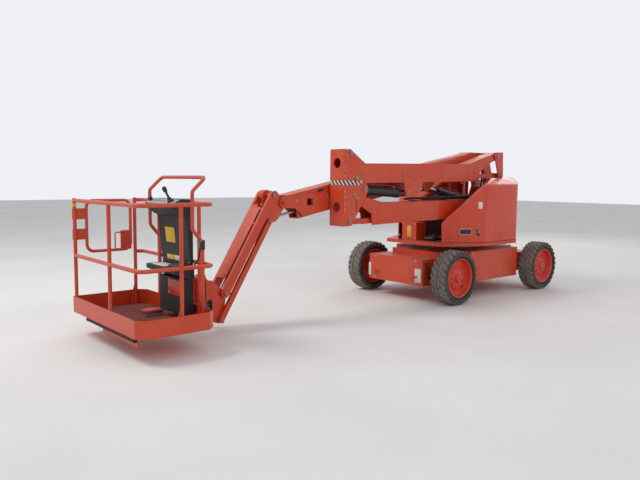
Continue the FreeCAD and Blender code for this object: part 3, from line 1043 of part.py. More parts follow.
def hinge_posts(inner_y):
    """Frame from the deck whose two posts carry the hood's hinge pins."""
    line = (inner_y - 13, HOOD_PEAK_TOP - 16)
    made = [box((HINGE_POST_X[0], line[0] - 10, 1180), (HINGE_POST_X[1], line[0] + 9, 1230))]
    for x in HINGE_POST_X:
        high = x + HINGE_POST_WIDTH / 2
        post = box((x - HINGE_POST_WIDTH / 2, line[0] - 10, DECK_TOP), (high, line[0] + 9, line[1] + 8))
        pin = Part.makeCylinder(6, HINGE_POST_WIDTH + 62, FreeCAD.Vector(x - HINGE_POST_WIDTH / 2, line[0],
                                line[1]), FreeCAD.Vector(1, 0, 0))
        made += [post, pin]
    return fuse(*made)


save("hood_left", hinged_hood(HOOD_INNER_Y))
save("hood_right", mirror_y(hinged_hood(HOOD_INNER_RIGHT)))
save("hood_frame_left", hinge_posts(HOOD_INNER_Y))
save("hood_frame_right", mirror_y(hinge_posts(HOOD_INNER_RIGHT)))

# Heavy masses under the hoods and the boxes on the deck
block_rear_x = -math.sqrt((TAIL_RADIUS - BLOCK_CLEAR) ** 2 - BLOCK_OUTER_Y ** 2)
block_top = DECK_TOP + BLOCK_HEIGHT
battery = box((block_rear_x, HOOD_INNER_Y + 20, DECK_TOP), (BLOCK_FRONT_X, BLOCK_OUTER_Y, block_top))
save("battery_block", battery)
power_unit = box((block_rear_x, HOOD_INNER_RIGHT + 20, DECK_TOP), (BLOCK_FRONT_X, BLOCK_OUTER_Y, block_top))
save("power_unit_block", mirror_y(power_unit))
front_box_x = DECK_FRONT_X - 60
front_box = box((front_box_x - FRONT_BOX_LENGTH, FRONT_BOX_Y[0], DECK_TOP),
                (front_box_x, FRONT_BOX_Y[1], DECK_TOP + FRONT_BOX_HEIGHT))
save("turntable_front_box", front_box)
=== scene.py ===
# %% [markdown]
# An articulating boom lift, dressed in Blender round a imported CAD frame. The frame already has
# every solid, pin and joint in its place, so each step here adds only what the solids lack:
# paint that has seen weather, tread, fasteners, mesh, labels and the small things on a machine.

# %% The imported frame
import bmesh
import bpy
import json
import math
from mathutils import Matrix, Vector

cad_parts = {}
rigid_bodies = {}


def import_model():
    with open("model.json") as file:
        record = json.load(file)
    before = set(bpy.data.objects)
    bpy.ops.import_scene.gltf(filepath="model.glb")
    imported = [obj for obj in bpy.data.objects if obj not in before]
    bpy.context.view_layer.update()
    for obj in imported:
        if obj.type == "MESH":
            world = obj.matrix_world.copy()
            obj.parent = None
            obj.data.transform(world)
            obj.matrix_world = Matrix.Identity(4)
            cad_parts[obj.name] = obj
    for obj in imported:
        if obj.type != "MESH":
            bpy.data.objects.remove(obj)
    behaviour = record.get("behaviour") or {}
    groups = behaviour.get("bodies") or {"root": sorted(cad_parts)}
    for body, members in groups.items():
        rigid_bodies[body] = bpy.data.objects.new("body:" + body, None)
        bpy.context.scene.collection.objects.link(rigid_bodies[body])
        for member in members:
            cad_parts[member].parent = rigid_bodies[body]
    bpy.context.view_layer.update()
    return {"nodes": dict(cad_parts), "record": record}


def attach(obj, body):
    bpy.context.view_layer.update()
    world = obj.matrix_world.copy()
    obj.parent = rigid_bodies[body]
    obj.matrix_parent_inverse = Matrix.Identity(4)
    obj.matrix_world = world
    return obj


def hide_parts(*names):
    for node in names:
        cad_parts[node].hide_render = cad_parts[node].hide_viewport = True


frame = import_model()
AXLE_X, WHEEL_Y, WHEEL_Z = 1.005, 0.755, 0.35
SIDES = (("left", 1), ("right", -1))


# %% [markdown]
# Materials are small sums of noises and masks. Written as nodes and links, such a sum takes a
# page; written as Python expressions it takes a line. So one class wraps a socket and answers
# plus, minus and times, and a second one makes any node in one call.

# %% Shader maths as expressions
def operator(operation):
    return lambda first, second: first.shop.maths(operation, first, second)


class Wire:
    """A node's output socket that answers Python's arithmetic by adding Math nodes."""

    __add__ = __radd__ = operator("ADD")
    __mul__ = __rmul__ = operator("MULTIPLY")
    __sub__ = operator("SUBTRACT")
    __truediv__ = operator("DIVIDE")
    __pow__ = operator("POWER")

    def __init__(self, shop, socket):
        self.shop = shop
        self.socket = socket

    def __rsub__(self, other):
        return self.shop.maths("SUBTRACT", other, self)

    def above(self, low, high):
        """0 below low, 1 over high, a smooth step between."""
        return self.shop.node("ShaderNodeMapRange", {"interpolation_type": "SMOOTHSTEP"},
                              {"Value": self, "From Min": low, "From Max": high}, "Result")


class Shop:
    """Any node tree, with one call that makes a node, sets it up and links it."""

    def __init__(self, tree):
        self.tree = tree

    def node(self, kind, settings=None, sockets=None, out=0):
        made = self.tree.nodes.new(kind)
        for name, value in (settings or {}).items():
            setattr(made, name, value)
        for name, value in (sockets or {}).items():
            self.plug(value, made.inputs[name])
        return Wire(self, made.outputs[out])

    def plug(self, value, socket):
        if isinstance(value, Wire):
            self.tree.links.new(value.socket, socket)
        else:
            socket.default_value = value

    def maths(self, operation, first, second):
        return self.node("ShaderNodeMath", {"operation": operation}, {0: first, 1: second})


class Finish(Shop):
    """One material: its tree, the object's coordinates and its Principled shader."""

    def __init__(self, name, **constants):
        self.material = bpy.data.materials.new(name)
        self.material.use_nodes = True
        super().__init__(self.material.node_tree)
        self.shader = self.tree.nodes["Principled BSDF"]
        for socket, value in constants.items():
            self.shader.inputs[socket.replace("_", " ")].default_value = value
        self.place = self.node("ShaderNodeTexCoord", out="Object")

    def noise(self, scale, detail=4.0, roughness=0.55, stretch=None):
        place = self.place
        if stretch:
            place = self.node("ShaderNodeMapping", {}, {"Vector": place, "Scale": stretch})
        return self.node("ShaderNodeTexNoise", {}, {"Vector": place, "Scale": scale, "Detail": detail,
                                                    "Roughness": roughness}, "Fac")

    def blend(self, share, first, second):
        return self.node("ShaderNodeMix", {"data_type": "RGBA"}, {0: share, 6: first, 7: second}, 2)

    def axis(self, name):
        return self.node("ShaderNodeSeparateXYZ", {}, {0: self.place}, name)

    def rounded(self, radius):
        return self.node("ShaderNodeBevel", {"samples": 4}, {"Radius": radius})

    def edges(self, radius):
        """1 at worn outer edges, 0 on flat ground."""
        flat = self.node("ShaderNodeNewGeometry", out="Normal")
        facing = self.node("ShaderNodeVectorMath", {"operation": "DOT_PRODUCT"},
                           {0: self.rounded(radius), 1: flat}, "Value")
        return (1 - facing).above(0.02, 0.22)

    def facing_up(self):
        flat = self.node("ShaderNodeNewGeometry", out="Normal")
        return self.node("ShaderNodeSeparateXYZ", {}, {0: flat}, "Z")

    def set(self, **outputs):
        for socket, wire in outputs.items():
            self.plug(wire, self.shader.inputs[socket.replace("_", " ")])

    def bump(self, height, distance, strength=1.0, normal=None):
        sockets = {"Height": height, "Distance": distance, "Strength": strength}
        if normal:
            sockets["Normal"] = normal
        return self.node("ShaderNodeBump", {}, sockets)


def rgb(red, green, blue):
    """A colour as a screen shows it (0-255), as Blender's linear light."""
    def linear(value):
        value = value / 255.0
        return value / 12.92 if value <= 0.04045 else ((value + 0.055) / 1.055) ** 2.4
    return (linear(red), linear(green), linear(blue), 1.0)


# %% [markdown]
# The machine's paint is an orange-red enamel that has been in the sun and the rain for years.
# It has paled in clouds, it is scuffed to grey along its edges, dust lies on what faces up, and
# fine scratches run across it. One function makes it, and each family of parts asks for its own
# share of wear: rails are handled all day, a hood is hardly touched.

# %% Paints
DUST = rgb(176, 158, 138)
PRIMER = rgb(120, 74, 62)


def enamel(name, colour, faded, gloss=0.36, wear=0.5, dust=0.35, scratch=0.4, round_off=0.003):
    """Sun-bleached paint; wear is for its edges and round_off for the width of their bevel."""
    paint = Finish(name, Metallic=0.0, Specular_IOR_Level=0.5, Coat_Weight=0.12, Coat_Roughness=0.2)
    clouds = paint.noise(1.7, 5.0, 0.6).above(0.35, 0.75)
    mottle = paint.noise(14.0, 6.0, 0.65).above(0.42, 0.72)
    shade = paint.blend(clouds * 0.55 + mottle * 0.12, colour, faded)
    grime = paint.noise(6.0, 8.0, 0.7).above(0.56, 0.78) * 0.3
    shade = paint.blend(grime, shade, rgb(96, 48, 36))
    rain = paint.noise(30.0, 4.0, 0.5, (1.0, 1.0, 0.05)).above(0.58, 0.72)
    shade = paint.blend(rain * 0.16, shade, DUST)
    lying = paint.facing_up().above(0.35, 0.95) * paint.noise(5.0, 6.0, 0.7).above(0.3, 0.7)
    shade = paint.blend(lying * dust, shade, DUST)
    chips = paint.edges(round_off * 1.6) * paint.noise(38.0, 6.0, 0.7).above(0.42, 0.6)
    shade = paint.blend(chips * wear, shade, PRIMER)
    lines = paint.noise(9.0, 2.0, 0.4, (0.4, 7.0, 22.0)).above(0.69, 0.72)
    shade = paint.blend(lines * scratch * 0.4, shade, faded)
    paint.set(Base_Color=shade, Roughness=gloss + mottle * 0.1 + lying * 0.25 + grime * 0.4)
    skin = paint.noise(160.0, 2.0) * 0.4 + paint.noise(7.0, 3.0) * 0.9
    paint.set(Normal=paint.bump(skin - lines * 0.5 - chips * 0.7, 0.0008, 0.5, paint.rounded(round_off)))
    return paint.material


ORANGE = rgb(206, 60, 20)
ORANGE_PALE = rgb(210, 84, 50)
orange_paint = enamel("orange_paint", ORANGE, ORANGE_PALE, wear=0.75)
hood_paint = enamel("hood_orange", rgb(208, 56, 24), rgb(212, 78, 50), gloss=0.28, wear=0.25, dust=0.25,
                    scratch=0.25, round_off=0.012)
rim_paint = enamel("rim_orange", rgb(208, 50, 24), rgb(206, 72, 44), gloss=0.32, wear=0.6, dust=0.3)
weight_paint = enamel("counterweight_orange", rgb(196, 54, 22), rgb(204, 80, 50), gloss=0.5, wear=0.6)
rail_paint = enamel("rail_orange", rgb(206, 62, 28), rgb(210, 92, 62), wear=1.0, scratch=0.8, dust=0.3)


# %% [markdown]
# The rest of the machine is a few plain industrial surfaces: black paint on the cylinders,
# hard chrome on their rods, moulded plastic, machined steel and rubber. Each still has two or
# three masks, because a clean black is what gives a computer picture away.

# %% Metals, plastics and rubber
def plain(name, colour, second, rough, metal=0.0, grain=60.0, depth=0.0003, dust=0.2, spots=0.3):
    """Smooth surface with clouds of a second colour, fine grain and dust on what faces up."""
    skin = Finish(name, Metallic=metal)
    fine = skin.noise(grain, 4.0, 0.6)
    clouds = skin.noise(4.5, 6.0, 0.65).above(0.4, 0.72)
    lying = skin.facing_up().above(0.3, 0.95) * skin.noise(8.0, 5.0, 0.7).above(0.35, 0.7)
    shade = skin.blend(clouds * spots + fine * 0.1, colour, second)
    shade = skin.blend(lying * dust, shade, DUST)
    skin.set(Base_Color=shade, Roughness=rough + clouds * 0.12 + lying * 0.25)
    skin.set(Normal=skin.bump(fine, depth, 0.6, skin.rounded(0.002)))
    return skin.material


black_paint = plain("black_paint", rgb(28, 28, 30), rgb(58, 56, 54), 0.38)
black_plastic = plain("black_plastic", rgb(26, 26, 28), rgb(62, 60, 60), 0.55, grain=400.0)
chrome = plain("chromed_rod", rgb(170, 172, 176), rgb(122, 120, 116), 0.14, 1.0, dust=0.05, spots=0.15,
               depth=0.0001)
steel = plain("machined_steel", rgb(150, 148, 144), rgb(98, 88, 80), 0.42, 0.9)
zinc = plain("zinc_steel", rgb(176, 172, 160), rgb(120, 112, 100), 0.4, 0.85)
casting = plain("grey_casting", rgb(132, 132, 130), rgb(96, 94, 90), 0.6, 0.4, grain=120.0)
rubber = plain("black_rubber", rgb(24, 24, 25), rgb(52, 50, 48), 0.7, grain=200.0)
dark_block = plain("dark_block", rgb(58, 58, 62), rgb(80, 78, 76), 0.6)
label_white = plain("label_white", rgb(224, 222, 214), rgb(196, 190, 178), 0.45, spots=0.4)
label_yellow = plain("label_yellow", rgb(232, 186, 36), rgb(206, 160, 50), 0.45, spots=0.4)
label_red = plain("label_red", rgb(186, 34, 28), rgb(150, 34, 28), 0.4)


def tyre_rubber():
    """Foam-filled tyre: pale, worn tread, a black ring by the rim, dry grey walls between."""
    skin = Finish("tyre_rubber", Metallic=0.0)
    x, z = skin.axis("X"), skin.axis("Z")
    from_axle = skin.maths("ABSOLUTE", x, 0.0) - AXLE_X
    low = z - WHEEL_Z
    radius = (from_axle * from_axle + low * low) ** 0.5
    dirt = skin.noise(9.0, 8.0, 0.7).above(0.35, 0.7)
    fine = skin.noise(120.0, 4.0, 0.6)
    shade = skin.blend(dirt * 0.6 + fine * 0.2, rgb(104, 100, 95), rgb(152, 142, 129))
    tread_share, ring_share = radius.above(0.318, 0.345), 1 - radius.above(0.272, 0.284)
    shade = skin.blend(tread_share, skin.blend(dirt, rgb(52, 51, 51), rgb(88, 83, 78)), shade)
    shade = skin.blend(ring_share, shade, rgb(26, 26, 27))
    skin.set(Base_Color=shade, Roughness=0.72 + dirt * 0.2)
    skin.set(Normal=skin.bump(fine + dirt * 0.6, 0.0012, 0.6))
    return skin.material


tread = tyre_rubber()


STRIPE_PITCH = 0.062


def hazard_stripes():
    """Black and white slanting bars on tape."""
    skin = Finish("hazard_tape", Metallic=0.0)
    slant = (skin.axis("X") - skin.axis("Y") - skin.axis("Z") * 0.9) / STRIPE_PITCH
    bar = skin.maths("FRACT", slant, 0.0).above(0.48, 0.52)
    worn = skin.noise(40.0, 6.0, 0.7).above(0.5, 0.66)
    shade = skin.blend(bar, rgb(22, 22, 24), rgb(222, 214, 200))
    shade = skin.blend(worn * 0.35, shade, ORANGE)
    skin.set(Base_Color=shade, Roughness=0.45 + worn * 0.2)
    return skin.material


hazard_tape = hazard_stripes()

# %% [markdown]
# Each CAD node keeps its shape and takes the finish of its material slot. Only the shader
# slots change, so the imported solids stay as they were.

# %% Finishes on the frame's own solids
finishes = {
    "tyre": tread, "rim_orange": rim_paint, "orange_paint": orange_paint, "hood_orange": hood_paint,
    "machined_steel": steel, "counterweight_orange": weight_paint, "dark_block": dark_block,
    "black_paint": black_paint, "chromed_rod": chrome, "black_plastic": black_plastic,
    "grey_casting": casting, "black_rubber": rubber,
}
HANDLED_ALL_DAY = ("platform_rails", "platform_gate", "console_guard")
for row in frame["record"]["subparts"]:
    solid = frame["nodes"][row["node"]]
    finish = rail_paint if row["node"] in HANDLED_ALL_DAY else finishes[row["material_slot"]]
    solid.data.materials.clear()
    solid.data.materials.append(finish)
usual_slot = {material.name: slot for slot, material in finishes.items()}
usual_slot[zinc.name] = "machined_steel"


# %% [markdown]
# Most small pieces are plates, bars and boxes. They are drawn straight in the machine's own
# metres, so that a number in the CAD source is the same number here, and each gets a bevel: no
# real sheet or casting has a perfectly sharp edge.

# %% Helpers for small pieces
def linked(name, data):
    """A new object in the scene's collection."""
    made = bpy.data.objects.new(name, data)
    bpy.context.scene.collection.objects.link(made)
    return made


def baked(holder):
    """The plain mesh that an object shows; the object itself goes."""
    mesh = bpy.data.meshes.new_from_object(holder.evaluated_get(bpy.context.evaluated_depsgraph_get()))
    bpy.data.objects.remove(holder)
    return mesh


def plain_mesh(name, shape):
    """The mesh of a bmesh, which is used up."""
    mesh = bpy.data.meshes.new(name)
    shape.to_mesh(mesh)
    shape.free()
    return mesh


def keep(name, mesh, material, body, slot=None, smooth=35.0):
    """Makes a mesh a finished piece that rides on one body; the slot argument is not used."""
    made = linked(name, mesh)
    if material:
        made.data.materials.clear()
        made.data.materials.append(material)
    if smooth:
        made.data.shade_smooth()
        made.data.set_sharp_from_angle(angle=math.radians(smooth))
    if slot is None:
        slot = usual_slot[material.name]
    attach(made, body)
    return made


def across(way, near, far):
    """Two distances out to one side as Y values, the lower first."""
    return sorted((way * near, way * far))


def facing_y(way):
    return "+y" if way > 0 else "-y"


BAR_EDGE = 0.0015


class Sketch:
    """Gathers bevelled solids into one mesh."""

    def __init__(self):
        self.shape = bmesh.new()

    def _add(self, corners, faces, bevel):
        part = bmesh.new()
        verts = [part.verts.new(corner) for corner in corners]
        for face in faces:
            part.faces.new([verts[i] for i in face])
        bmesh.ops.recalc_face_normals(part, faces=part.faces)
        if bevel:
            bmesh.ops.bevel(part, geom=part.edges[:], offset=bevel, segments=2, profile=0.5,
                            affect="EDGES", clamp_overlap=True)
        mesh = plain_mesh("part", part)
        self.shape.from_mesh(mesh)
        bpy.data.meshes.remove(mesh)
        return self

    def box(self, low, high, bevel=0.002):
        xs, ys, zs = zip(low, high)
        corners = [(x, y, z) for x in xs for y in ys for z in zs]
        faces = [(0, 1, 3, 2), (4, 6, 7, 5), (0, 4, 5, 1), (2, 3, 7, 6), (0, 2, 6, 4), (1, 5, 7, 3)]
        return self._add(corners, faces, bevel)

    def loft(self, corners, bevel):
        """A solid between two like outlines, whose corners follow each other in one list."""
        count = len(corners) // 2
        faces = [tuple(range(count)), tuple(reversed(range(count, 2 * count)))]
        faces += [(i, (i + 1) % count, count + (i + 1) % count, count + i) for i in range(count)]
        return self._add(corners, faces, bevel)

    def prism(self, outline, low, high, axis="y", bevel=0.002):
        """An outline in X and Z, or in X and Y, given thickness along the third axis."""
        def at(a, b, depth):
            return (a, depth, b) if axis == "y" else (a, b, depth)
        return self.loft([at(a, b, depth) for depth in (low, high) for a, b in outline], bevel)

    def turned(self, profile, start, way, segments=32):
        """A lathed shape: (distance along, radius) pairs round a line."""
        way = Vector(way).normalized()
        side = way.orthogonal().normalized()
        other = way.cross(side)
        rings = []
        for along, radius in profile:
            centre = Vector(start) + way * along
            if radius < 1e-6:
                rings.append([self.shape.verts.new(centre)])
                continue
            turn = [2 * math.pi * i / segments for i in range(segments)]
            rings.append([self.shape.verts.new(centre + (side * math.cos(a) + other * math.sin(a)) * radius)
                          for a in turn])
        for ring, after in zip(rings, rings[1:]):
            for i in range(segments):
                j = (i + 1) % segments
                loop = [ring[i % len(ring)], ring[j % len(ring)], after[j % len(after)],
                        after[i % len(after)]]
                loop = list(dict.fromkeys(loop))
                if len(loop) > 2:
                    self.shape.faces.new(loop)
        return self

    def bar(self, start, end, radius, segments=16):
        """A round bar with eased ends."""
        way = Vector(end) - Vector(start)
        long = way.length
        soft = min(BAR_EDGE, radius * 0.5)
        profile = [(0, 0), (0, radius - soft), (soft, radius), (long - soft, radius), (long, radius - soft),
                   (long, 0)]
        return self.turned(profile, start, way, segments)

    def done(self, name, material, body, slot=None, smooth=35.0):
        bmesh.ops.recalc_face_normals(self.shape, faces=self.shape.faces)
        return keep(name, plain_mesh(name, self.shape), material, body, slot, smooth)


def bent_tube(points, radius, name, material, body, bend=0.03, sides=12):
    """A rigid tube along straight runs with round bends."""
    line = [Vector(point) for point in points]
    path = [line[0]]
    for before, corner, after in zip(line, line[1:], line[2:]):
        back, on = before - corner, after - corner
        reach = min(bend, back.length * 0.45, on.length * 0.45)
        a, b = corner + back.normalized() * reach, corner + on.normalized() * reach
        for step in range(7):
            t = step / 6.0
            path.append(a * (1 - t) ** 2 + corner * 2 * t * (1 - t) + b * t ** 2)
    path.append(line[-1])
    curve = bpy.data.curves.new(name, "CURVE")
    curve.dimensions = "3D"
    spline = curve.splines.new("POLY")
    spline.points.add(len(path) - 1)
    for knot, point in zip(spline.points, path):
        knot.co = (*point, 1.0)
    curve.bevel_depth = radius
    curve.bevel_resolution = max(1, sides // 4)
    curve.use_fill_caps = True
    return keep(name, baked(linked(name, curve)), material, body, smooth=50.0)


# %% [markdown]
# What repeats comes from Geometry Nodes. A tree takes a few named sizes, spreads a small mesh
# over points, and ends in Realize Instances and Set Material, so that the result is ordinary
# mesh that an exporter understands. The modifier is then made plain and thrown away.

# %% Geometry Nodes as a workshop
class Pattern(Shop):
    """A Geometry Nodes tree with named inputs that becomes a plain mesh."""

    def __init__(self, name, **sizes):
        tree = bpy.data.node_groups.new(name, "GeometryNodeTree")
        super().__init__(tree)
        tree.interface.new_socket("Geometry", in_out="OUTPUT", socket_type="NodeSocketGeometry")
        tree.interface.new_socket("Geometry", in_out="INPUT", socket_type="NodeSocketGeometry")
        kinds = {int: "NodeSocketInt", float: "NodeSocketFloat", tuple: "NodeSocketVector"}
        self.ids = {}
        for label, value in sizes.items():
            made = tree.interface.new_socket(label, in_out="INPUT", socket_type=kinds[type(value)])
            made.default_value = value
            self.ids[label] = made.identifier
        made = tree.interface.new_socket("Material", in_out="INPUT", socket_type="NodeSocketMaterial")
        self.ids["Material"] = made.identifier
        self.entry = tree.nodes.new("NodeGroupInput")
        self.exit = tree.nodes.new("NodeGroupOutput")

    def given(self, label):
        return Wire(self, self.entry.outputs[label])

    def close(self, geometry):
        """Ends the tree: real mesh, one material."""
        whole = self.node("GeometryNodeRealizeInstances", {}, {"Geometry": geometry})
        whole = self.node("GeometryNodeSetMaterial", {}, {"Geometry": whole,
                                                          "Material": self.given("Material")})
        self.plug(whole, self.exit.inputs["Geometry"])
        return self

    def grow(self, name, material, base=None, **sizes):
        """Runs the tree on a base mesh and returns a plain mesh."""
        holder = linked(name, base or bpy.data.meshes.new(name))
        runs = holder.modifiers.new("pattern", "NODES")
        runs.node_group = self.tree
        runs[self.ids["Material"]] = material
        for label, value in sizes.items():
            runs[self.ids[label]] = value
        return baked(holder)


def points_mesh(points):
    """A mesh of loose points for a pattern to spread things over."""
    mesh = bpy.data.meshes.new("points")
    mesh.from_pydata(points, [], [])
    return mesh


def fastener_pattern():
    """Hexagon heads on washers, one at each point, each turned by chance about its own axis."""
    tree = Pattern("hex_heads", Radius=0.012, Height=0.009, Seed=3, Turn=(0.0, 0.0, 0.0))
    radius, height = tree.given("Radius"), tree.given("Height")
    head = tree.node("GeometryNodeMeshCone", {}, {"Vertices": 6, "Radius Bottom": radius,
                     "Radius Top": radius * 0.9, "Depth": height}, "Mesh")
    ring = tree.node("GeometryNodeMeshCylinder", {}, {"Vertices": 20, "Radius": radius * 1.45,
                     "Depth": height * 0.3}, "Mesh")
    lift = tree.node("ShaderNodeCombineXYZ", {}, {"Z": height * 0.15})
    ring = tree.node("GeometryNodeTransform", {}, {"Geometry": ring, "Translation": lift})
    both = tree.node("GeometryNodeJoinGeometry")
    for part in (ring, head):
        tree.plug(part, both.socket.node.inputs["Geometry"])
    chance = tree.node("FunctionNodeRandomValue", {"data_type": "FLOAT"},
                       {2: 0.0, 3: 1.05, "Seed": tree.given("Seed")}, 1)
    spin = tree.node("ShaderNodeCombineXYZ", {}, {"Z": chance})
    made = tree.node("GeometryNodeInstanceOnPoints", {}, {"Points": tree.given("Geometry"),
                     "Instance": both, "Rotation": tree.given("Turn")})
    made = tree.node("GeometryNodeRotateInstances", {}, {"Instances": made, "Rotation": spin})
    return tree.close(made)


hex_heads = fastener_pattern()
FACING = {"+x": (0, math.pi / 2, 0), "+y": (-math.pi / 2, 0, 0), "-y": (math.pi / 2, 0, 0), "+z": (0, 0, 0)}


def bolts(name, points, facing, body, radius, height):
    """Hexagon heads at points, all facing one way."""
    mesh = hex_heads.grow(name, zinc, points_mesh(points), Radius=radius, Height=height, Turn=FACING[facing])
    return keep(name, mesh, None, body, "machined_steel", 30.0)


# %% [markdown]
# The tyres come first, since rubber is where solids look most like solids. A carcass is turned
# on a lathe with a groove round its middle, and one slanted lug, lofted over the crown and down
# the shoulder, is set round it by a tree that any ring of things can use.

# %% Things set round an axle
WHEELS = [(end, side, x, y) for end, x in (("front", AXLE_X), ("rear", -AXLE_X))
          for side, y in (("left", WHEEL_Y), ("right", -WHEEL_Y))]


def ring_pattern():
    """Copies of a base mesh set round a Y axis through Centre, each a little worn by chance."""
    tree = Pattern("ring_of_copies", Count=24, Centre=(0.0, 0.0, 0.0), Phase=0.0, Wear=0.01, Seed=5)
    line = tree.node("GeometryNodeMeshLine", {}, {"Count": tree.given("Count"),
                     "Start Location": tree.given("Centre"), "Offset": (0.0, 0.0, 0.0)})
    index = tree.node("GeometryNodeInputIndex")
    angle = (index + tree.given("Phase")) * (2 * math.pi) / tree.given("Count")
    turn = tree.node("ShaderNodeCombineXYZ", {}, {"Y": angle})
    worn = tree.node("FunctionNodeRandomValue", {"data_type": "FLOAT"},
                     {2: 1 - tree.given("Wear"), 3: 1.0, "Seed": tree.given("Seed")}, 1)
    made = tree.node("GeometryNodeInstanceOnPoints", {}, {"Points": line, "Rotation": turn, "Scale": worn,
                     "Instance": tree.given("Geometry")})
    return tree.close(made)


set_round = ring_pattern()
LUGS = 26
LUG_START, LUG_RUN = 0.04, 0.077
LUG_LEAN = 0.062
LUG_HALF, LUG_TAPER = 0.030, 0.004
# Distance from the tyre's middle, and the radii of the lug's foot and crown there
LUG_STATIONS = ((0.040, 0.330, 0.3478), (0.046, 0.330, 0.3492), (0.085, 0.326, 0.3485),
                (0.104, 0.318, 0.3435), (0.114, 0.306, 0.3335), (0.1175, 0.296, 0.318),
                (0.1165, 0.290, 0.300))


def lug_mesh(way, side):
    """One slanted lug of the tread's outer or inner row, about the origin's Y axis."""
    shape = bmesh.new()
    rings = []
    for y, low, high in LUG_STATIONS:
        share = (y - LUG_START) / LUG_RUN
        half = LUG_HALF - LUG_TAPER * share
        row = []
        for offset, radius in ((-half, low), (-half + 0.004, high - 0.003), (-half + 0.009, high),
                               (half - 0.009, high), (half - 0.004, high - 0.003), (half, low)):
            angle = (offset + LUG_LEAN * share * way) / WHEEL_Z
            row.append(shape.verts.new((math.sin(angle) * radius, y * side, math.cos(angle) * radius)))
        rings.append(row)
    for ring, after in zip(rings, rings[1:]):
        for a, b in zip(range(5), range(1, 6)):
            shape.faces.new((ring[a], ring[b], after[b], after[a]))
    shape.faces.new(rings[0])
    shape.faces.new(reversed(rings[-1]))
    bmesh.ops.recalc_face_normals(shape, faces=shape.faces)
    return plain_mesh("lug", shape)


# Distance from the middle and radius, from the bead to the groove; the other half mirrors it
BEAD = 0.099
HALF_CARCASS = [(0.008, 0.337), (0.010, 0.3478), (0.037, 0.3465), (0.040, 0.338), (0.092, 0.334),
                (0.104, 0.328), (0.114, 0.314), (0.118, 0.296), (0.1165, 0.278), (0.112, 0.262),
                (0.106, 0.254), (BEAD, 0.2455)]


def dress_tyre(end, side, x, y):
    body = f"{end}_{side}_wheel"
    carcass = [(-a, r) for a, r in reversed(HALF_CARCASS)] + HALF_CARCASS
    profile = [(0.0, 0.2455), *[(a + BEAD, r) for a, r in carcass], (2 * BEAD, 0.2455)]
    carcass = Sketch().turned(profile, (x, y - BEAD, WHEEL_Z), (0, 1, 0), 96).done(
        f"{body}_carcass", tread, body, smooth=40)
    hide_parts(f"{end}_{side}_tyre")
    for row, (way, out) in enumerate(((1, 1), (-1, -1))):
        mesh = set_round.grow(f"{body}_lugs", tread, lug_mesh(way, out), Count=LUGS, Centre=(x, y, WHEEL_Z),
                              Phase=0.5 * row, Wear=0.006, Seed=row + 3)
        keep(f"{body}_lugs_{row + 1}", mesh, None, body, "tyre", 30)


for wheel in WHEELS:
    dress_tyre(*wheel)
print("tyres:", len(WHEELS), "with", 2 * LUGS, "lugs each")

# %% [markdown]
# The rim is a deep dish that steps up to its hub, so its shadow rings show from far away. Nuts
# stand in a circle on the middle step, and the valve hole is a black disc by the barrel, painted shade for
# the hole.

# %% Rims
# Distance out from the tyre's middle and radius, first the dish and then the rim's back
RIM = [(0.096, 0.0), (0.096, 0.020), (0.090, 0.026), (0.090, 0.050), (0.086, 0.054), (0.066, 0.060),
       (0.062, 0.064), (0.058, 0.098), (0.054, 0.104), (0.052, 0.142), (0.040, 0.152), (0.038, 0.158),
       (0.037, 0.206), (0.041, 0.220), (0.052, 0.227), (0.092, 0.231), (0.099, 0.235), (0.105, 0.242),
       (0.106, 0.249), (0.102, 0.2535), (0.098, 0.2525), (0.096, 0.2450),
       (-0.106, 0.2445), (-0.106, 0.236), (-0.100, 0.233), (0.012, 0.231), (0.018, 0.220), (0.020, 0.120),
       (0.020, 0.0465), (0.062, 0.0465), (0.062, 0.0)]
NUTS, NUT_CIRCLE = 9, 0.122


def dress_rim(end, side, x, y):
    body = f"{end}_{side}_wheel"
    out = 1 if y > 0 else -1
    axle = (0, out, 0)
    dish = Sketch().turned(RIM, (x, y, WHEEL_Z), axle, 72).done(f"{body}_dish", rim_paint, body, smooth=28)
    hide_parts(f"{end}_{side}_rim")
    nut = Sketch().turned([(0.0, 0.0), (0.0, 0.0125), (0.012, 0.0125), (0.015, 0.010), (0.015, 0.0)],
                          (0.0, out * 0.0525, NUT_CIRCLE), axle, 6)
    mesh = set_round.grow(f"{body}_nuts", rim_paint, plain_mesh("nut", nut.shape), Count=NUTS,
                          Centre=(x, y, WHEEL_Z), Phase=0.25, Wear=0.0)
    keep(f"{body}_nuts", mesh, None, body, "rim_orange", 25)
    # The valve hole is a thin black disc: painted shade for the hole.
    Sketch().turned([(0, 0), (0.0015, 0.016), (0.002, 0.013), (0.0015, 0)],
                    (x - 0.13, y + out * 0.0370, WHEEL_Z - 0.125), axle, 18).done(
        f"{body}_valve_hole_shade", rubber, body)
    Sketch().turned([(0, 0.013), (0.005, 0.011), (0.006, 0)], (x, y + out * 0.096, WHEEL_Z), axle, 6).done(
        f"{body}_hub_plug", steel, body)


for wheel in WHEELS:
    dress_rim(*wheel)

# %% [markdown]
# Every pivot ends in a pin head, often held by a keeper's bolt: a steel ring with a dark centre,
# proud of the painted plate round it. The same call dresses the tower, the boom and the jib.

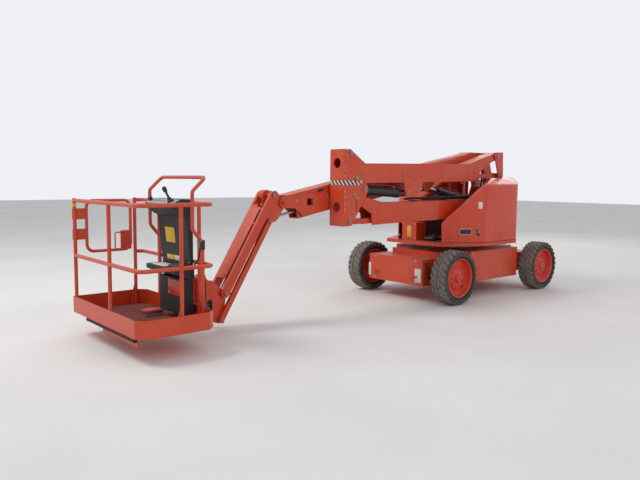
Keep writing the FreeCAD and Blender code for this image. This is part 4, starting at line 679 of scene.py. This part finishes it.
# %% Pin heads
def pin_head(name, point, y, way, body, radius=0.025, keeper=None):
    """Steel pin end on a plate's face at Y, facing one way; keeper is its bolt's angle."""
    start, axis = (point[0], y, point[1]), (0, way, 0)
    washer = [(0, 0), (0, 1.55), (0.004, 1.55), (0.005, 1.45), (0.0055, 1.2), (0.006, 0)]
    end = [(0, 1), (0.012, 1), (0.0145, 0.86), (0.0145, 0.42), (0.009, 0.3), (0.009, 0)]
    for suffix, profile, finish in (("washer", washer, orange_paint), ("end", end, steel)):
        Sketch().turned([(along, share * radius) for along, share in profile], start, axis, 28).done(
            f"{name}_{suffix}", finish, body, smooth=30)
    if keeper is not None:
        turn, reach = math.radians(keeper), radius * 2.1
        spot = (point[0] + reach * math.cos(turn), y, point[1] + reach * math.sin(turn))
        bolts(f"{name}_keeper_bolt", [spot], facing_y(way), body, 0.008, 0.007)


TOWER_NEAR, TOWER_FAR = 0.429, 0.193
ARM_LENGTH = 2.92
P1, P2, P3, P4 = (2.545, 1.879), (2.445, 1.603), (2.445, 1.369), (2.545, 1.093)
TIP, ROD_EYE = (2.316, 1.463), (1.544, 1.422)
for number, point in enumerate((P1, P2, P3, P4, TIP), 1):
    for end, way, face in (("near", 1, TOWER_NEAR), ("far", -1, TOWER_FAR)):
        pin_head(f"upright_pin_{number}_{end}", point, face, way, "mid_upright", keeper=-60 + 40 * number)
for number, (point, tilt, body) in enumerate(((P1, 1.2, "rear_upright"), (P2, 1.2, "rear_upright"),
                                              (P3, 0.7, "turntable"), (P4, 0.7, "turntable")), 1):
    angle = math.radians(tilt)
    spot = (point[0] - ARM_LENGTH * math.cos(angle), point[1] + ARM_LENGTH * math.sin(angle))
    pin_head(f"rear_pin_{number}_near", spot, TOWER_NEAR, 1, body, keeper=90)
    if body == "turntable":
        pin_head(f"rear_pin_{number}_far", spot, TOWER_FAR, -1, body, keeper=90)
pin_head("lift_eye_pin", ROD_EYE, 0.413, 1, "upper_arm", 0.022, 150)
pin_head("lift_eye_pin_far", ROD_EYE, 0.209, -1, "upper_arm", 0.022, 150)
pin_head("nose_pin", (3.312, 1.326), 0.172, 1, "fly_boom", 0.022, 190)
JIB_PIN, JIB_LINK_PIN = (3.455, 1.405), (3.504, 1.1293)
JIB_FOOT, LINK_FOOT = (4.07154, 0.3989), (4.12054, 0.1232)
JIB_PIN_NEAR, JIB_PIN_FAR = 0.1982, -0.0782
for name, point, body in (("jib_pin", JIB_PIN, "jib_knuckle"), ("jib_link_pin", JIB_LINK_PIN, "jib_knuckle"),
                          ("bracket_pin", JIB_FOOT, "platform_bracket"),
                          ("bracket_link_pin", LINK_FOOT, "platform_bracket")):
    pin_head(name + "_near", point, JIB_PIN_NEAR, 1, body, 0.018)
    pin_head(name + "_far", point, JIB_PIN_FAR, -1, body, 0.018)

# %% [markdown]
# The middle upright is what the eye meets first: a folded plate whose crease is lined with small
# bolts, a band of hazard tape round it, and two polished cable guides on its top edge.

# %% Middle upright, tower arms and their plugs
CREASE_X = 2.650
bolts("crease_bolts", [(2.634, 0.4292, z) for z in (1.737, 1.692, 1.625, 1.455, 1.387, 1.307, 1.239)], "+y",
      "mid_upright", 0.007, 0.004)
TAPE_Z = (1.523, 1.574)
TAPE_THICK = 0.0008
Sketch().box((CREASE_X, 0.1945, TAPE_Z[0]), (CREASE_X + TAPE_THICK, 0.4295, TAPE_Z[1]), 0).box(
    (2.365, 0.4288, TAPE_Z[0]), (CREASE_X + TAPE_THICK, 0.4298, TAPE_Z[1]), 0).done(
    "hazard_band", hazard_tape, "mid_upright", "orange_paint", 0)
for number, y in enumerate((0.239, 0.350), 1):
    Sketch().bar((2.626, y - 0.014, 1.926), (2.626, y + 0.014, 1.926), 0.006).done(
        f"cable_guide_{number}", chrome, "mid_upright")
Sketch().bar((2.445, 0.4305, 1.340), (2.445, 0.4305, 1.215), 0.003).done(
    "grease_line", black_paint, "mid_upright")
for number, z in enumerate((1.772, 1.268), 1):
    Sketch().turned([(0, 0.0585), (0.001, 0.062), (0.0015, 0.058), (-0.006, 0.0575)], (CREASE_X, 0.311, z),
                    (1, 0, 0), 40).done(f"hole_lip_{number}", orange_paint, "mid_upright")
# Round plug welds, a little proud of the arms' sheets
PLUG = [(0, 0), (0, 0.026), (0.003, 0.02522), (0.0045, 0.0208), (0.0045, 0)]
for number, (body, x, y, z) in enumerate((
        ("upper_arm", 2.328, 0.409, 1.669), ("upper_arm", 1.491, 0.413, 1.638),
        ("upper_arm", 1.279, 0.413, 1.641), ("upper_arm", 0.137, 0.409, 1.709),
        ("lower_arm", 2.018, 0.409, 1.167)), 1):
    Sketch().turned(PLUG, (x, y, z), (0, 1, 0), 28).done(f"plug_weld_{number}", orange_paint, body, smooth=30)
Sketch().turned([(0, 0), (0, 0.014), (0.006, 0.014), (0.008, 0.011), (0.008, 0)], (1.36, 0.413, 1.459),
                (0, 1, 0), 20).done("bracket_rest_pin", steel, "upper_arm")
Sketch().prism([(0.300, 1.800), (0.3035, 1.800), (0.2635, 1.585), (0.260, 1.585)], 0.4085, 0.4105, "y",
               0.0004).done("upper_arm_seam", orange_paint, "upper_arm")

# %% [markdown]
# The hoods are moulded, with generous round corners that no sharp solid shows. Each is rebuilt
# from the CAD hood's own corners: their convex hull is rounded, the faces that are open on the
# real hood are taken away, and what is left gets its wall.

# %% Rounded hoods
HOOD_ROUND, HOOD_WALL = 0.034, 0.008
HINGES_X, HINGE_LENGTH, HINGE_Z = (-0.5344, -0.1744), 0.060, 1.629


def rounded_hood(side, way, inner_y):
    """Moulded shell in place of a CAD hood, with its two hinge knuckles."""
    body = f"hood_{side}"
    solid = frame["nodes"][body]
    shape = bmesh.new()
    for vertex in solid.data.vertices:
        spot = solid.matrix_world @ vertex.co
        if spot.y * way >= inner_y - 0.0005 and spot.z > 0.7:
            shape.verts.new(spot)
    bmesh.ops.convex_hull(shape, input=shape.verts[:])
    inside = [v for v in shape.verts if not v.link_faces]
    bmesh.ops.delete(shape, geom=inside, context="VERTS")
    bmesh.ops.dissolve_limit(shape, angle_limit=math.radians(2.0), verts=shape.verts[:], edges=shape.edges[:])
    low = min(v.co.z for v in shape.verts)

    def is_open(face):
        centre = face.calc_center_median()
        return abs(face.normal.z) > 0.99 and centre.z < low + 0.002 or face.normal.y * way < -0.99

    soft = [edge for edge in shape.edges if len(edge.link_faces) == 2
            and edge.calc_face_angle(0) > math.radians(14)
            and not any(is_open(face) for face in edge.link_faces)]
    bmesh.ops.bevel(shape, geom=soft, offset=HOOD_ROUND, segments=6, profile=0.5, affect="EDGES",
                    clamp_overlap=True)
    bmesh.ops.delete(shape, geom=[face for face in shape.faces if is_open(face)], context="FACES")
    bmesh.ops.recalc_face_normals(shape, faces=shape.faces)
    middle = Vector((0.0, way * (inner_y + 0.1), 1.1))
    lead = max(shape.faces, key=lambda face: face.calc_area())
    if lead.normal.dot(lead.calc_center_median() - middle) < 0:
        bmesh.ops.reverse_faces(shape, faces=shape.faces[:])
    holder = linked(body, plain_mesh(body, shape))
    wall = holder.modifiers.new("wall", "SOLIDIFY")
    wall.thickness = HOOD_WALL
    wall.offset = -1.0
    made = keep(f"{body}_shell", baked(holder), hood_paint, body, smooth=50)
    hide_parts(body)
    hinge_y = inner_y - 0.013
    left, right = across(way, hinge_y, inner_y + 0.012)
    hinge = Sketch()
    for start in HINGES_X:
        end = start + HINGE_LENGTH
        hinge.bar((start, way * hinge_y, HINGE_Z), (end, way * hinge_y, HINGE_Z), 0.012, 20)
        hinge.box((start, left, HINGE_Z - 0.090), (end, right, HINGE_Z + 0.001), 0.001)
    hinge.done(f"{body}_hinges", hood_paint, body)


rounded_hood("left", 1, 0.470)
rounded_hood("right", -1, 0.300)


def plate_on(name, centre, along, up, size, corner, thick, material, body, slot):
    """Thin plate with round corners, lying on a face given by two directions."""
    along, up = Vector(along).normalized(), Vector(up).normalized()
    out = along.cross(up).normalized()
    half_w, half_h = size[0] / 2.0, size[1] / 2.0
    outline = []
    for sx, sz, first in ((1, 1, 0), (-1, 1, 90), (-1, -1, 180), (1, -1, 270)):
        for step in range(5):
            turn = math.radians(first + 22.5 * step)
            outline.append(((half_w - corner) * sx + corner * math.cos(turn),
                            (half_h - corner) * sz + corner * math.sin(turn)))
    corners = []
    for depth in (0.0, thick):
        corners += [Vector(centre) + along * a + up * b + out * depth for a, b in outline]
    return Sketch().loft(corners, 0.0006).done(name, material, body, slot, 30)


HOOD_ALONG = (-0.505, 0.300, 0.0)
HOOD_SIDE_Y = 0.7702
TO_Y, UP = (0, 1, 0), (0, 0, 1)
for name, centre, size, corner, thick, finish in (
        ("plate_rim", (0.624, 0.6376, 0.912), (0.176, 0.076), 0.030, 0.0025, label_white),
        ("plate", (0.624, 0.6390, 0.912), (0.166, 0.066), 0.026, 0.0030, black_plastic),
        ("sticker", (0.452, 0.7405, 1.262), (0.058, 0.090), 0.004, 0.0010, label_white),
        ("latch_plate", (0.467, 0.7310, 0.900), (0.046, 0.086), 0.012, 0.0040, black_plastic),
        ("latch_handle", (0.467, 0.7345, 0.910), (0.020, 0.052), 0.008, 0.0080, steel)):
    plate_on(f"hood_{name}", centre, HOOD_ALONG, UP, size, corner, thick, finish, "hood_left", "hood_orange")
for side, way in SIDES:
    low, high = across(way, 0.7690, 0.7712)
    Sketch().box((0.366, low, 0.800), (0.3685, high, 1.500), 0).done(
        f"hood_seam_{side}", black_plastic, f"hood_{side}", "hood_orange", 0)
    bolts(f"hood_screws_{side}", [(x, way * HOOD_SIDE_Y, 0.806) for x in (-0.30, -0.10, 0.10, 0.30)],
          facing_y(way), f"hood_{side}", 0.007, 0.004)
Sketch().bar((-0.182, 0.7695, 1.500), (-0.182, 0.7730, 1.500), 0.010).done(
    "hood_bumper", rubber, "hood_left", "hood_orange")

# %% [markdown]
# Below the hoods: the deck's bolts, the box with its blank label, a hydraulic block with its
# lines, and the axle ends with their labels and hoses.

# %% Deck and chassis
DECK_Z = 0.760
plate_on("front_box_label", (0.9005, -0.105, 0.885), TO_Y, UP, (0.075, 0.150), 0.006, 0.001,
         label_yellow, "turntable", "orange_paint")
bolts("front_box_screws", [(0.9002, y, z) for y in (-0.215, 0.000) for z in (0.785, 0.985)], "+x",
      "turntable", 0.007, 0.004)


def circle(radius, start, step, count, middle=(0.0, 0.0)):
    """Points of a plane on a circle, from one angle on in equal steps."""
    turns = [math.radians(start + step * i) for i in range(count)]
    return [(middle[0] + radius * math.cos(turn), middle[1] + radius * math.sin(turn)) for turn in turns]


bolts("deck_bolts", [(x, y, DECK_Z + 0.0002) for x, y in circle(0.33, -70, 20, 8)], "+z", "turntable",
      0.013, 0.012)
bolts("ring_bolts", [(x, y, 0.6402) for x, y in circle(0.352, 0, 15, 24)], "+z", "chassis", 0.012, 0.012)
Sketch().box((0.60, 0.05, DECK_Z), (0.76, 0.20, 0.815), 0.006).box(
    (0.62, 0.07, 0.815), (0.70, 0.18, 0.835), 0.004).done(
    "valve_block", black_paint, "turntable", "dark_block")
VALVE_Y = [0.07 + 0.035 * i for i in range(4)]
bolts("valve_fittings", [(0.765, y, 0.79) for y in VALVE_Y], "+x", "turntable", 0.010, 0.014)
for i, y in enumerate(VALVE_Y):
    corner_x, line_y, line_z = 0.83 + 0.012 * i, 0.26 + 0.018 * i, 0.772 + 0.012 * i
    bent_tube([(0.775, y, 0.79), (corner_x, y, 0.79), (corner_x, line_y, line_z), (0.42, line_y, line_z)],
              0.0065, f"deck_line_{i + 1}", rubber, "turntable")
Sketch().box((0.50, -0.42, DECK_Z), (0.74, -0.27, 0.830), 0.010).done(
    "deck_tool_box", orange_paint, "turntable")
Sketch().box((0.46, 0.215, DECK_Z), (0.90, 0.228, 0.764), 0.001).done(
    "deck_strip", label_yellow, "turntable", "orange_paint")
AXLE_FACE_X = 1.2902


def axle_end(side, way, label_y, label_width):
    """Label, slit and looped hydraulic lines on one end of the front axle; the slit is a black strip of
    painted shade.
    """
    plate_on(f"axle_label_{side}", (AXLE_FACE_X, label_y, 0.352), TO_Y, UP, (label_width, 0.180), 0.004,
             0.0008, label_white, "chassis", "orange_paint")
    # The slit is a thin black strip: painted shade for the opening.
    low, high = across(way, 0.467, 0.473)
    Sketch().box((1.2895, low, 0.235), (1.2908, high, 0.555), 0).done(
        f"axle_slit_shade_{side}", black_plastic, "chassis", "orange_paint", 0)
    start_y = way * 0.478
    for i in range(2):
        x, z, out = 1.235 - 0.03 * i, 0.520 - 0.07 * i, 0.022 + 0.018 * i
        bent_tube([(x, start_y, z), (x, way * (0.476 + out), z + 0.005),
                   (x - 0.02, way * (0.478 + out), 0.330), (1.120, start_y, 0.300 + 0.03 * i)],
                  0.0085, f"axle_line_{side}_{i + 1}", rubber, "chassis", 0.05)


axle_end("left", 1, 0.395, 0.105)
axle_end("right", -1, -0.4715, 0.043)
bolts("axle_bolts", [(AXLE_FACE_X, y, z) for y in (-0.355, 0.355) for z in (0.25, 0.54)], "+x",
      "chassis", 0.011, 0.008)
for side, way in SIDES:
    bolts(f"side_cover_bolts_{side}",
          [(x, way * 0.6702, z) for x in (-0.55, -0.18, 0.16, 0.49) for z in (0.262, 0.603)],
          facing_y(way), "chassis", 0.009, 0.006)
    low, high = across(way, 0.6695, 0.6715)
    Sketch().box((0.02, low, 0.27), (0.024, high, 0.60), 0.0003).done(
        f"side_weld_{side}", orange_paint, "chassis")
    low, high = across(way, 0.30, 0.42)
    Sketch().box((-0.30, low, 0.6395), (-0.10, high, 0.646), 0.002).done(
        f"chassis_lid_{side}", orange_paint, "chassis")
bolts("rear_hub_bolts", [(x, 0.5952, z) for x, z in circle(0.105, 0, 30, 12, (-AXLE_X, WHEEL_Z))], "-y",
      "chassis", 0.008, 0.006)

# %% [markdown]
# Hydraulics: glands and fittings on the cylinders, with the rigid lines that feed them, and the
# bundle of lines that lies along the lower arm's top.

# %% Cylinders and lines
PORT = [(-0.006, 0), (-0.006, 0.014), (0.012, 0.014), (0.014, 0.009), (0.026, 0.009), (0.026, 0)]


def dress_cylinder(name, base, eye, y, radius, rod, length, ports=(0.16, 0.9)):
    """Gland, port bosses and a feed line along one barrel."""
    start, end = Vector((base[0], y, base[1])), Vector((eye[0], y, eye[1]))
    way = (end - start).normalized()
    body = f"{name}_cylinder_barrel"
    Sketch().turned([(0, radius + 0.004), (-0.05, radius + 0.004), (-0.054, radius), (-0.001, radius * 0.9),
                     (0.004, rod + 0.004), (0.006, rod + 0.0008), (0, rod + 0.0008), (0, radius + 0.004)],
                    start + way * length, way, 40).done(f"{name}_gland", black_paint, body)
    if not ports:
        return
    up = Vector((-way.z, 0, way.x))
    up = up if up.z > 0 else -up
    first, last = (start + way * (length * share) + up * radius for share in ports)
    blocks = Sketch()
    for spot in (first, last):
        blocks.turned(PORT, spot, up, 6)
    blocks.done(f"{name}_ports", zinc, body)
    bent_tube([first + up * 0.020, first + up * 0.024 + way * 0.04, last + up * 0.024 - way * 0.04,
               last + up * 0.020], 0.005, f"{name}_feed", steel, body, 0.02, 8)


dress_cylinder("tower", TIP, ROD_EYE, 0.311, 0.058, 0.032, 0.690)
dress_cylinder("boom", (-0.400, 1.262), (0.850, 1.480), 0.060, 0.056, 0.032, 0.950)
dress_cylinder("jib", JIB_LINK_PIN, JIB_FOOT, 0.098, 0.033, 0.018, 0.780, ())
for i in range(4):
    y = 0.255 + 0.034 * i
    bent_tube([(0.02, y, 1.352), (0.20, y, 1.366 + 0.004 * (i % 2)), (0.95, y, 1.352 + 0.003 * i),
               (1.42, y, 1.345 + 0.004 * i)], 0.0125, f"arm_line_{i + 1}", rubber, "lower_arm", 0.08, 10)
CLAMP_Y = (0.232, 0.380)
clamps = Sketch()
for x, z in ((0.20, 1.340), (0.72, 1.331), (1.30, 1.322)):
    for low, high, soft in ((-0.012, 0.008, 0.002), (0.044, 0.048, 0.001)):
        clamps.box((x - 0.018, CLAMP_Y[0], z + low), (x + 0.018, CLAMP_Y[1], z + high), soft)
clamps.done("arm_clamps", black_paint, "lower_arm")

# %% [markdown]
# The boom's head has a slotted side, its slot a black plate of painted shade, and bolted cheeks.
# The jib's far box carries a cover sheet, so that only a dark slot with the hoses shows between it and the
# near bar.

# %% Boom head, rear upright and jib
HEAD_ALONG, HEAD_UP = (-0.981, 0, 0.1935), (0.1935, 0, 0.981)
# The slot is a black plate inside its orange rim: painted shade for the opening.
for name, y, size, corner, thick, finish in (
        ("head_slot_rim", 0.1613, (0.112, 0.040), 0.020, 0.0012, orange_paint),
        ("head_slot", 0.1620, (0.100, 0.029), 0.0145, 0.0014, black_plastic)):
    plate_on(name, (2.770, y, 1.462), HEAD_ALONG, HEAD_UP, size, corner, thick, finish, "fly_boom",
             "orange_paint")
CHEEK_Y, BOOM_SIDE_Y = 0.1721, 0.1602
bolts("head_bolts", [(x, CHEEK_Y, z) for x, z in ((2.665, 1.392), (2.640, 1.345), (3.130, 1.345))], "+y",
      "fly_boom", 0.009, 0.006)
bolts("pad_bolts", [(x, BOOM_SIDE_Y, z - 0.19 * (x - 2.262)) for x in (2.262, 2.305) for z in (1.425, 1.352)],
      "+y", "boom_base", 0.009, 0.005)
# Black hoses and ties behind the rear upright; their black also fills the opening there as painted deep
# shade.
for i in range(4):
    y = 0.020 + 0.036 * i
    run = [(-0.575, 1.900), (-0.588, 1.780), (-0.572 - 0.004 * (i % 2), 1.500), (-0.580, 1.290)]
    bent_tube([(x, y, z) for x, z in run], 0.0145, f"upright_line_{i + 1}", rubber, "rear_upright", 0.08)
hose_ties = Sketch()
for z in (1.36, 1.58, 1.76):
    hose_ties.box((-0.604, 0.000, z), (-0.556, 0.148, z + 0.016), 0.003)
hose_ties.done("upright_line_ties", black_plastic, "rear_upright")

JIB_TOP = (3.4556, 1.4042)
JIB_WAY = (0.5225, -0.8527)


def on_jib(along, rise):
    """Point of the XZ plane at a distance down the jib and a height over its middle line."""
    return (JIB_TOP[0] + JIB_WAY[0] * along - JIB_WAY[1] * rise,
            JIB_TOP[1] + JIB_WAY[1] * along + JIB_WAY[0] * rise)


def jib_plate(low, high, near, far):
    return [on_jib(low, near), on_jib(high, near), on_jib(high, far), on_jib(low, far)]


COVER_RUN, COVER_TOP = (0.170, 1.035), 0.0453
Sketch().prism(jib_plate(*COVER_RUN, 0.0415, COVER_TOP), -0.0735, 0.118, "y", 0.0012).prism(
    jib_plate(*COVER_RUN, 0.0300, COVER_TOP), 0.1150, 0.1185, "y", 0.0010).done(
    "jib_cover", orange_paint, "jib_arm")
folds = Sketch()
for low in (0.178, 1.024):
    folds.prism(jib_plate(low, low + 0.004, 0.0440, 0.0456), -0.070, 0.114, "y", 0.0004)
folds.done("jib_cover_folds", orange_paint, "jib_arm")
for i in range(2):
    run = [on_jib(along, 0.030 - 0.017 * i) for along in (0.165, 0.50, 0.80, 1.02)]
    bent_tube([(x, 0.1365, z) for x, z in run], 0.0078, f"jib_hose_{i + 1}", rubber, "jib_arm", 0.05, 10)
for number, along in enumerate((0.235, 0.970), 1):
    x, z = on_jib(along, COVER_TOP)
    Sketch().bar((x, 0.100, z), (x + 0.004, 0.100, z + 0.0025), 0.008).done(
        f"jib_cover_screw_{number}", zinc, "jib_arm")
Sketch().box((4.105, -0.010, 0.205), (4.205, 0.110, 0.325), 0.010).bar(
    (4.155, 0.050, 0.325), (4.155, 0.050, 0.345), 0.030).done(
    "rotator_valve", black_paint, "platform_bracket")
bent_tube([(x, 0.0525, z) for x, z in ((4.106, 0.290), (4.080, 0.285), (4.075, 0.220), (4.106, 0.222))],
          0.0085, "rotator_line", rubber, "platform_bracket", 0.03, 10)

# %% [markdown]
# The platform's floor is expanded metal: one diamond of wire set on every point of a grid that
# follows the cut corners. Under it lies a black sheet, painted shade that shows through the openings.

# %% Platform floor
TRAY_X, TRAY_Y, FLOOR_Z = (4.550, 5.310), (-0.700, 0.820), 0.233
DIAMOND = 0.022
CORNER_CUT = 0.080


def inside_tray(x, y, margin):
    """True where a point of the floor clears the toe boards and the cut corners."""
    left, right = y - TRAY_Y[0], TRAY_Y[1] - y
    rear, front = x - TRAY_X[0], TRAY_X[1] - x
    cuts = (rear + left, front + right, rear + right)
    return min(left, right, rear, front) > margin and min(cuts) > CORNER_CUT + 1.4 * margin


def mesh_floor():
    """A net of wire diamonds, one for each point."""
    tree = Pattern("wire_diamonds", Reach=DIAMOND, Wire=0.0026)
    ring = tree.node("GeometryNodeMeshCircle", {}, {"Vertices": 4, "Radius": tree.given("Reach")}, "Mesh")
    ring = tree.node("GeometryNodeMeshToCurve", {}, {"Mesh": ring}, "Curve")
    wire = tree.node("GeometryNodeCurvePrimitiveCircle", {}, {"Resolution": 4, "Radius": tree.given("Wire")},
                     "Curve")
    net = tree.node("GeometryNodeCurveToMesh", {}, {"Curve": ring, "Profile Curve": wire}, "Mesh")
    net = tree.node("GeometryNodeTransform", {}, {"Geometry": net, "Scale": (0.5, 1.0, 0.6)})
    made = tree.node("GeometryNodeInstanceOnPoints", {}, {"Points": tree.given("Geometry"), "Instance": net})
    return tree.close(made)


rows = range(int((TRAY_X[1] - TRAY_X[0]) / DIAMOND))
columns = range(int((TRAY_Y[1] - TRAY_Y[0]) / DIAMOND / 2))
spots = [(TRAY_X[0] + DIAMOND * (i + 0.5), TRAY_Y[0] + DIAMOND * (2 * j + 1), FLOOR_Z + 0.0019)
         for i in rows for j in columns]
spots = [spot for spot in spots if inside_tray(spot[0], spot[1], 0.016)]
net = mesh_floor().grow("floor_net", orange_paint, points_mesh(spots))
keep("floor_net", net, None, "platform", "orange_paint", 30.0)
EDGE, CUT = 0.0065, 0.077
(x0, x1), (y0, y1) = (TRAY_X[0] + EDGE, TRAY_X[1] - EDGE), (TRAY_Y[0] + EDGE, TRAY_Y[1] - EDGE)
# A black sheet under the wire net: painted shade seen through the openings.
Sketch().prism([(x0 + CUT, y0), (x1, y0), (x1, y1 - CUT), (x1 - CUT, y1), (x0 + CUT, y1), (x0, y1 - CUT),
                (x0, y0 + CUT)], FLOOR_Z + 0.0001, FLOOR_Z + 0.0004, "z", 0).done(
    "floor_painted_shade", black_plastic, "platform", smooth=0)
print("wire diamonds", len(spots))

# %% [markdown]
# The operator's console has a pale panel with switches and a lever. Its labels are left blank.

# %% Console
CONSOLE_X = 4.5946
PANEL_OUT, PANEL_DOWN = Vector((0.468, 0, 0.884)), Vector((0.884, 0, -0.468))
PANEL_EDGE = (CONSOLE_X + 0.1245, 1.3857)
panel_grey = plain("panel_grey", rgb(168, 168, 164), rgb(128, 126, 120), 0.5)
PANEL = ((0.202, 1.3420), (0.1235, 1.3836), (0.1245, 1.3857), (0.203, 1.3441))
face = [(CONSOLE_X + reach, z) for reach, z in PANEL]
Sketch().prism(face, -0.100, 0.450, "y", 0.0004).done(
    "console_panel", panel_grey, "platform", "black_plastic")


def on_panel(down, y):
    """Point on the panel, at a distance down its slope."""
    return Vector((PANEL_EDGE[0], y, PANEL_EDGE[1])) + PANEL_DOWN * down


toggles, collars = Sketch(), Sketch()
for i in range(7):
    foot = on_panel(0.045, -0.010 + 0.038 * i)
    collars.bar(foot, foot + PANEL_OUT * 0.006, 0.008)
    toggles.bar(foot, foot + PANEL_OUT * 0.026 + Vector((0.004 * (i % 3 - 1), 0, 0)), 0.0032)
collars.done("toggle_collars", zinc, "platform")
toggles.done("toggles", chrome, "platform", "machined_steel")
LEVER = [(0, 0.034), (0.006, 0.034), (0.012, 0.026), (0.018, 0.028), (0.026, 0.019), (0.034, 0.020),
         (0.044, 0.011), (0.100, 0.010), (0.104, 0.019), (0.140, 0.021), (0.152, 0.014), (0.154, 0)]
KNOB = [(0, 0.016), (0.014, 0.016), (0.016, 0.024), (0.030, 0.024), (0.036, 0.016), (0.037, 0)]
for name, profile, foot, sides in (("drive_lever", LEVER, on_panel(0.045, 0.345), 28),
                                   ("panel_knob", KNOB, on_panel(0.040, -0.068), 24)):
    Sketch().turned(profile, foot, PANEL_OUT, sides).done(name, black_plastic, "platform")
FACE_UP = (0.0984, 0, 0.9951)
for name, centre, size, finish in (
        ("console_plate", (4.6478, 0.112, 1.035), (0.190, 0.150), label_yellow),
        ("console_strip", (4.6265, 0.075, 0.815), (0.140, 0.048), label_yellow),
        ("console_strip_pale", (4.6265, 0.225, 0.815), (0.140, 0.048), label_white)):
    plate_on(name, centre, TO_Y, FACE_UP, size, 0.006, 0.0010, finish, "platform", "black_plastic")
bolts("console_screws", [(x, y, z) for x, z in ((4.6505, 1.19), (4.6235, 0.79)) for y in (-0.085, 0.435)],
      "+x", "platform", 0.006, 0.004)

# %% [markdown]
# What lies and hangs round the console: the load box's cover, papers and a cloth on the tray,
# the foot switch, a clip with its cable, tape, and the brackets of the front hose.

# %% Cage details
plate_on("load_cover", (4.7108, 0.315, 0.5475), TO_Y, UP, (0.268, 0.153), 0.008, 0.0016, orange_paint,
         "platform", "orange_paint")
bolts("cover_bolts", [(4.7117, y, z) for y in (0.205, 0.425) for z in (0.490, 0.605)], "+x", "platform",
      0.010, 0.006)
TRAY_TOP = 0.7452
Sketch().box((4.640, -0.060, TRAY_TOP), (4.770, 0.130, 0.7468), 0.0004).box(
    (4.655, 0.020, 0.7470), (4.785, 0.230, 0.7482), 0.0004).done(
    "tray_papers", label_white, "platform", "black_plastic")
Sketch().box((4.650, 0.270, TRAY_TOP), (4.760, 0.420, 0.7720), 0.012).done(
    "tray_cloth", dark_block, "platform", "black_rubber")
Sketch().box((4.6985, -0.0915, 0.255), (4.8815, 0.0415, 0.2965), 0.012).done(
    "foot_switch_cover", label_red, "platform", "black_plastic")
LEG_X, LEG_Y = 4.6093, 0.660


def sleeve(name, foot, radii, length, finish, slot, sides):
    """Open ring round an upright tube."""
    bore, outer = radii
    profile = [(0, bore), (0, outer), (length, outer), (length, bore)]
    Sketch().turned(profile, foot, UP, sides).done(name, finish, "platform", slot)


sleeve("leg_clip", (LEG_X, LEG_Y, 0.935), (0.0172, 0.0225), 0.085, black_plastic, "black_plastic", 24)
Sketch().box((LEG_X - 0.006, LEG_Y - 0.075, 0.945), (LEG_X + 0.006, LEG_Y - 0.020, 1.010), 0.002).done(
    "leg_plate", casting, "platform")
bent_tube([(LEG_X + out, LEG_Y - back, z) for out, back, z in (
    (0, 0.045, 0.946), (0.004, 0.050, 0.870), (0.002, 0.110, 0.800), (0, 0.180, 0.760))], 0.007, "leg_cable",
    rubber, "platform", 0.04, 10)
sleeve("post_tape", (5.2847, -0.6747, 1.290), (0.0181, 0.0190), 0.030, label_yellow, "orange_paint", 28)
brackets = Sketch()
for y in (-0.366, -0.020, 0.330, 0.690):
    brackets.box((5.262, y, 0.1850), (5.304, y + 0.004, 0.2248), 0.001)
brackets.done("hose_brackets", orange_paint, "platform")

# %% [markdown]
# A pale floor fades into a pale studio. The key lamp hangs over the machine's front right, and two
# weaker ones fill the shadows and draw the far edges.

# %% Floor, lamps and world
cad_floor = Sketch().box((-40, -40, -0.02), (40, 40, -0.0005), 0)
floor_finish = Finish("studio_floor", Roughness=0.9, Specular_IOR_Level=0.1)
floor_finish.set(Base_Color=floor_finish.blend(floor_finish.noise(0.6, 2.0).above(0.3, 0.7),
                                               rgb(232, 230, 226), rgb(238, 236, 232)))
floor = linked("floor", plain_mesh("floor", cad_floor.shape))
floor.data.materials.append(floor_finish.material)


def soft_lamp(name, place, target, size, power):
    """A round area lamp that looks at a target."""
    lamp = bpy.data.lights.new(name, "AREA")
    lamp.shape = "DISK"
    lamp.size = size
    lamp.energy = power
    holder = linked(name, lamp)
    holder.location = place
    holder.rotation_euler = (Vector(target) - Vector(place)).to_track_quat("-Z", "Y").to_euler()


soft_lamp("key", (9.0, -3.5, 9.0), (2.0, 0.0, 0.8), 4.0, 430)
soft_lamp("fill", (3.0, 10.0, 6.0), (2.0, 0.0, 0.8), 7.0, 120)
soft_lamp("rim", (-8.0, -4.0, 6.0), (0.0, 0.0, 1.0), 4.0, 120)

world = bpy.data.worlds.new("studio")
world.use_nodes = True
bpy.context.scene.world = world
sky = Shop(world.node_tree)
glow = world.node_tree.nodes["Background"]
seen = sky.node("ShaderNodeLightPath", out="Is Camera Ray")
mirror = sky.node("ShaderNodeLightPath", out="Is Glossy Ray")
glow.inputs["Color"].default_value = (0.93, 0.95, 1.0, 1.0)
sky.plug(sky.maths("MAXIMUM", seen, mirror) * 0.32 + 0.6, glow.inputs["Strength"])

# %% [markdown]
# The camera stands where the photographer stood: its place, turn and focal length come from a
# fit to the wheels, the wheelbase and the platform.

# %% Camera
EYE = Vector((7.487, 5.634, 1.577))
YAW, PITCH, ROLL = (math.radians(angle) for angle in (-130.774, 5.4985, 0.5755))
FOCAL_PIXELS, PHOTO_WIDTH = 623.5355, 640
ahead = Vector((math.cos(YAW) * math.cos(PITCH), math.sin(YAW) * math.cos(PITCH), -math.sin(PITCH)))
right = ahead.cross(Vector(UP)).normalized()
up = right.cross(ahead)
right, up = (right * math.cos(ROLL) + up * math.sin(ROLL), up * math.cos(ROLL) - right * math.sin(ROLL))
camera = linked("camera", bpy.data.cameras.new("camera"))
camera.data.sensor_width = 36.0
camera.data.lens = FOCAL_PIXELS * camera.data.sensor_width / PHOTO_WIDTH
camera.matrix_world = Matrix.Translation(EYE) @ Matrix((right, up, -ahead)).transposed().to_4x4()
bpy.context.scene.camera = camera
bpy.context.scene.view_settings.view_transform = "Standard"
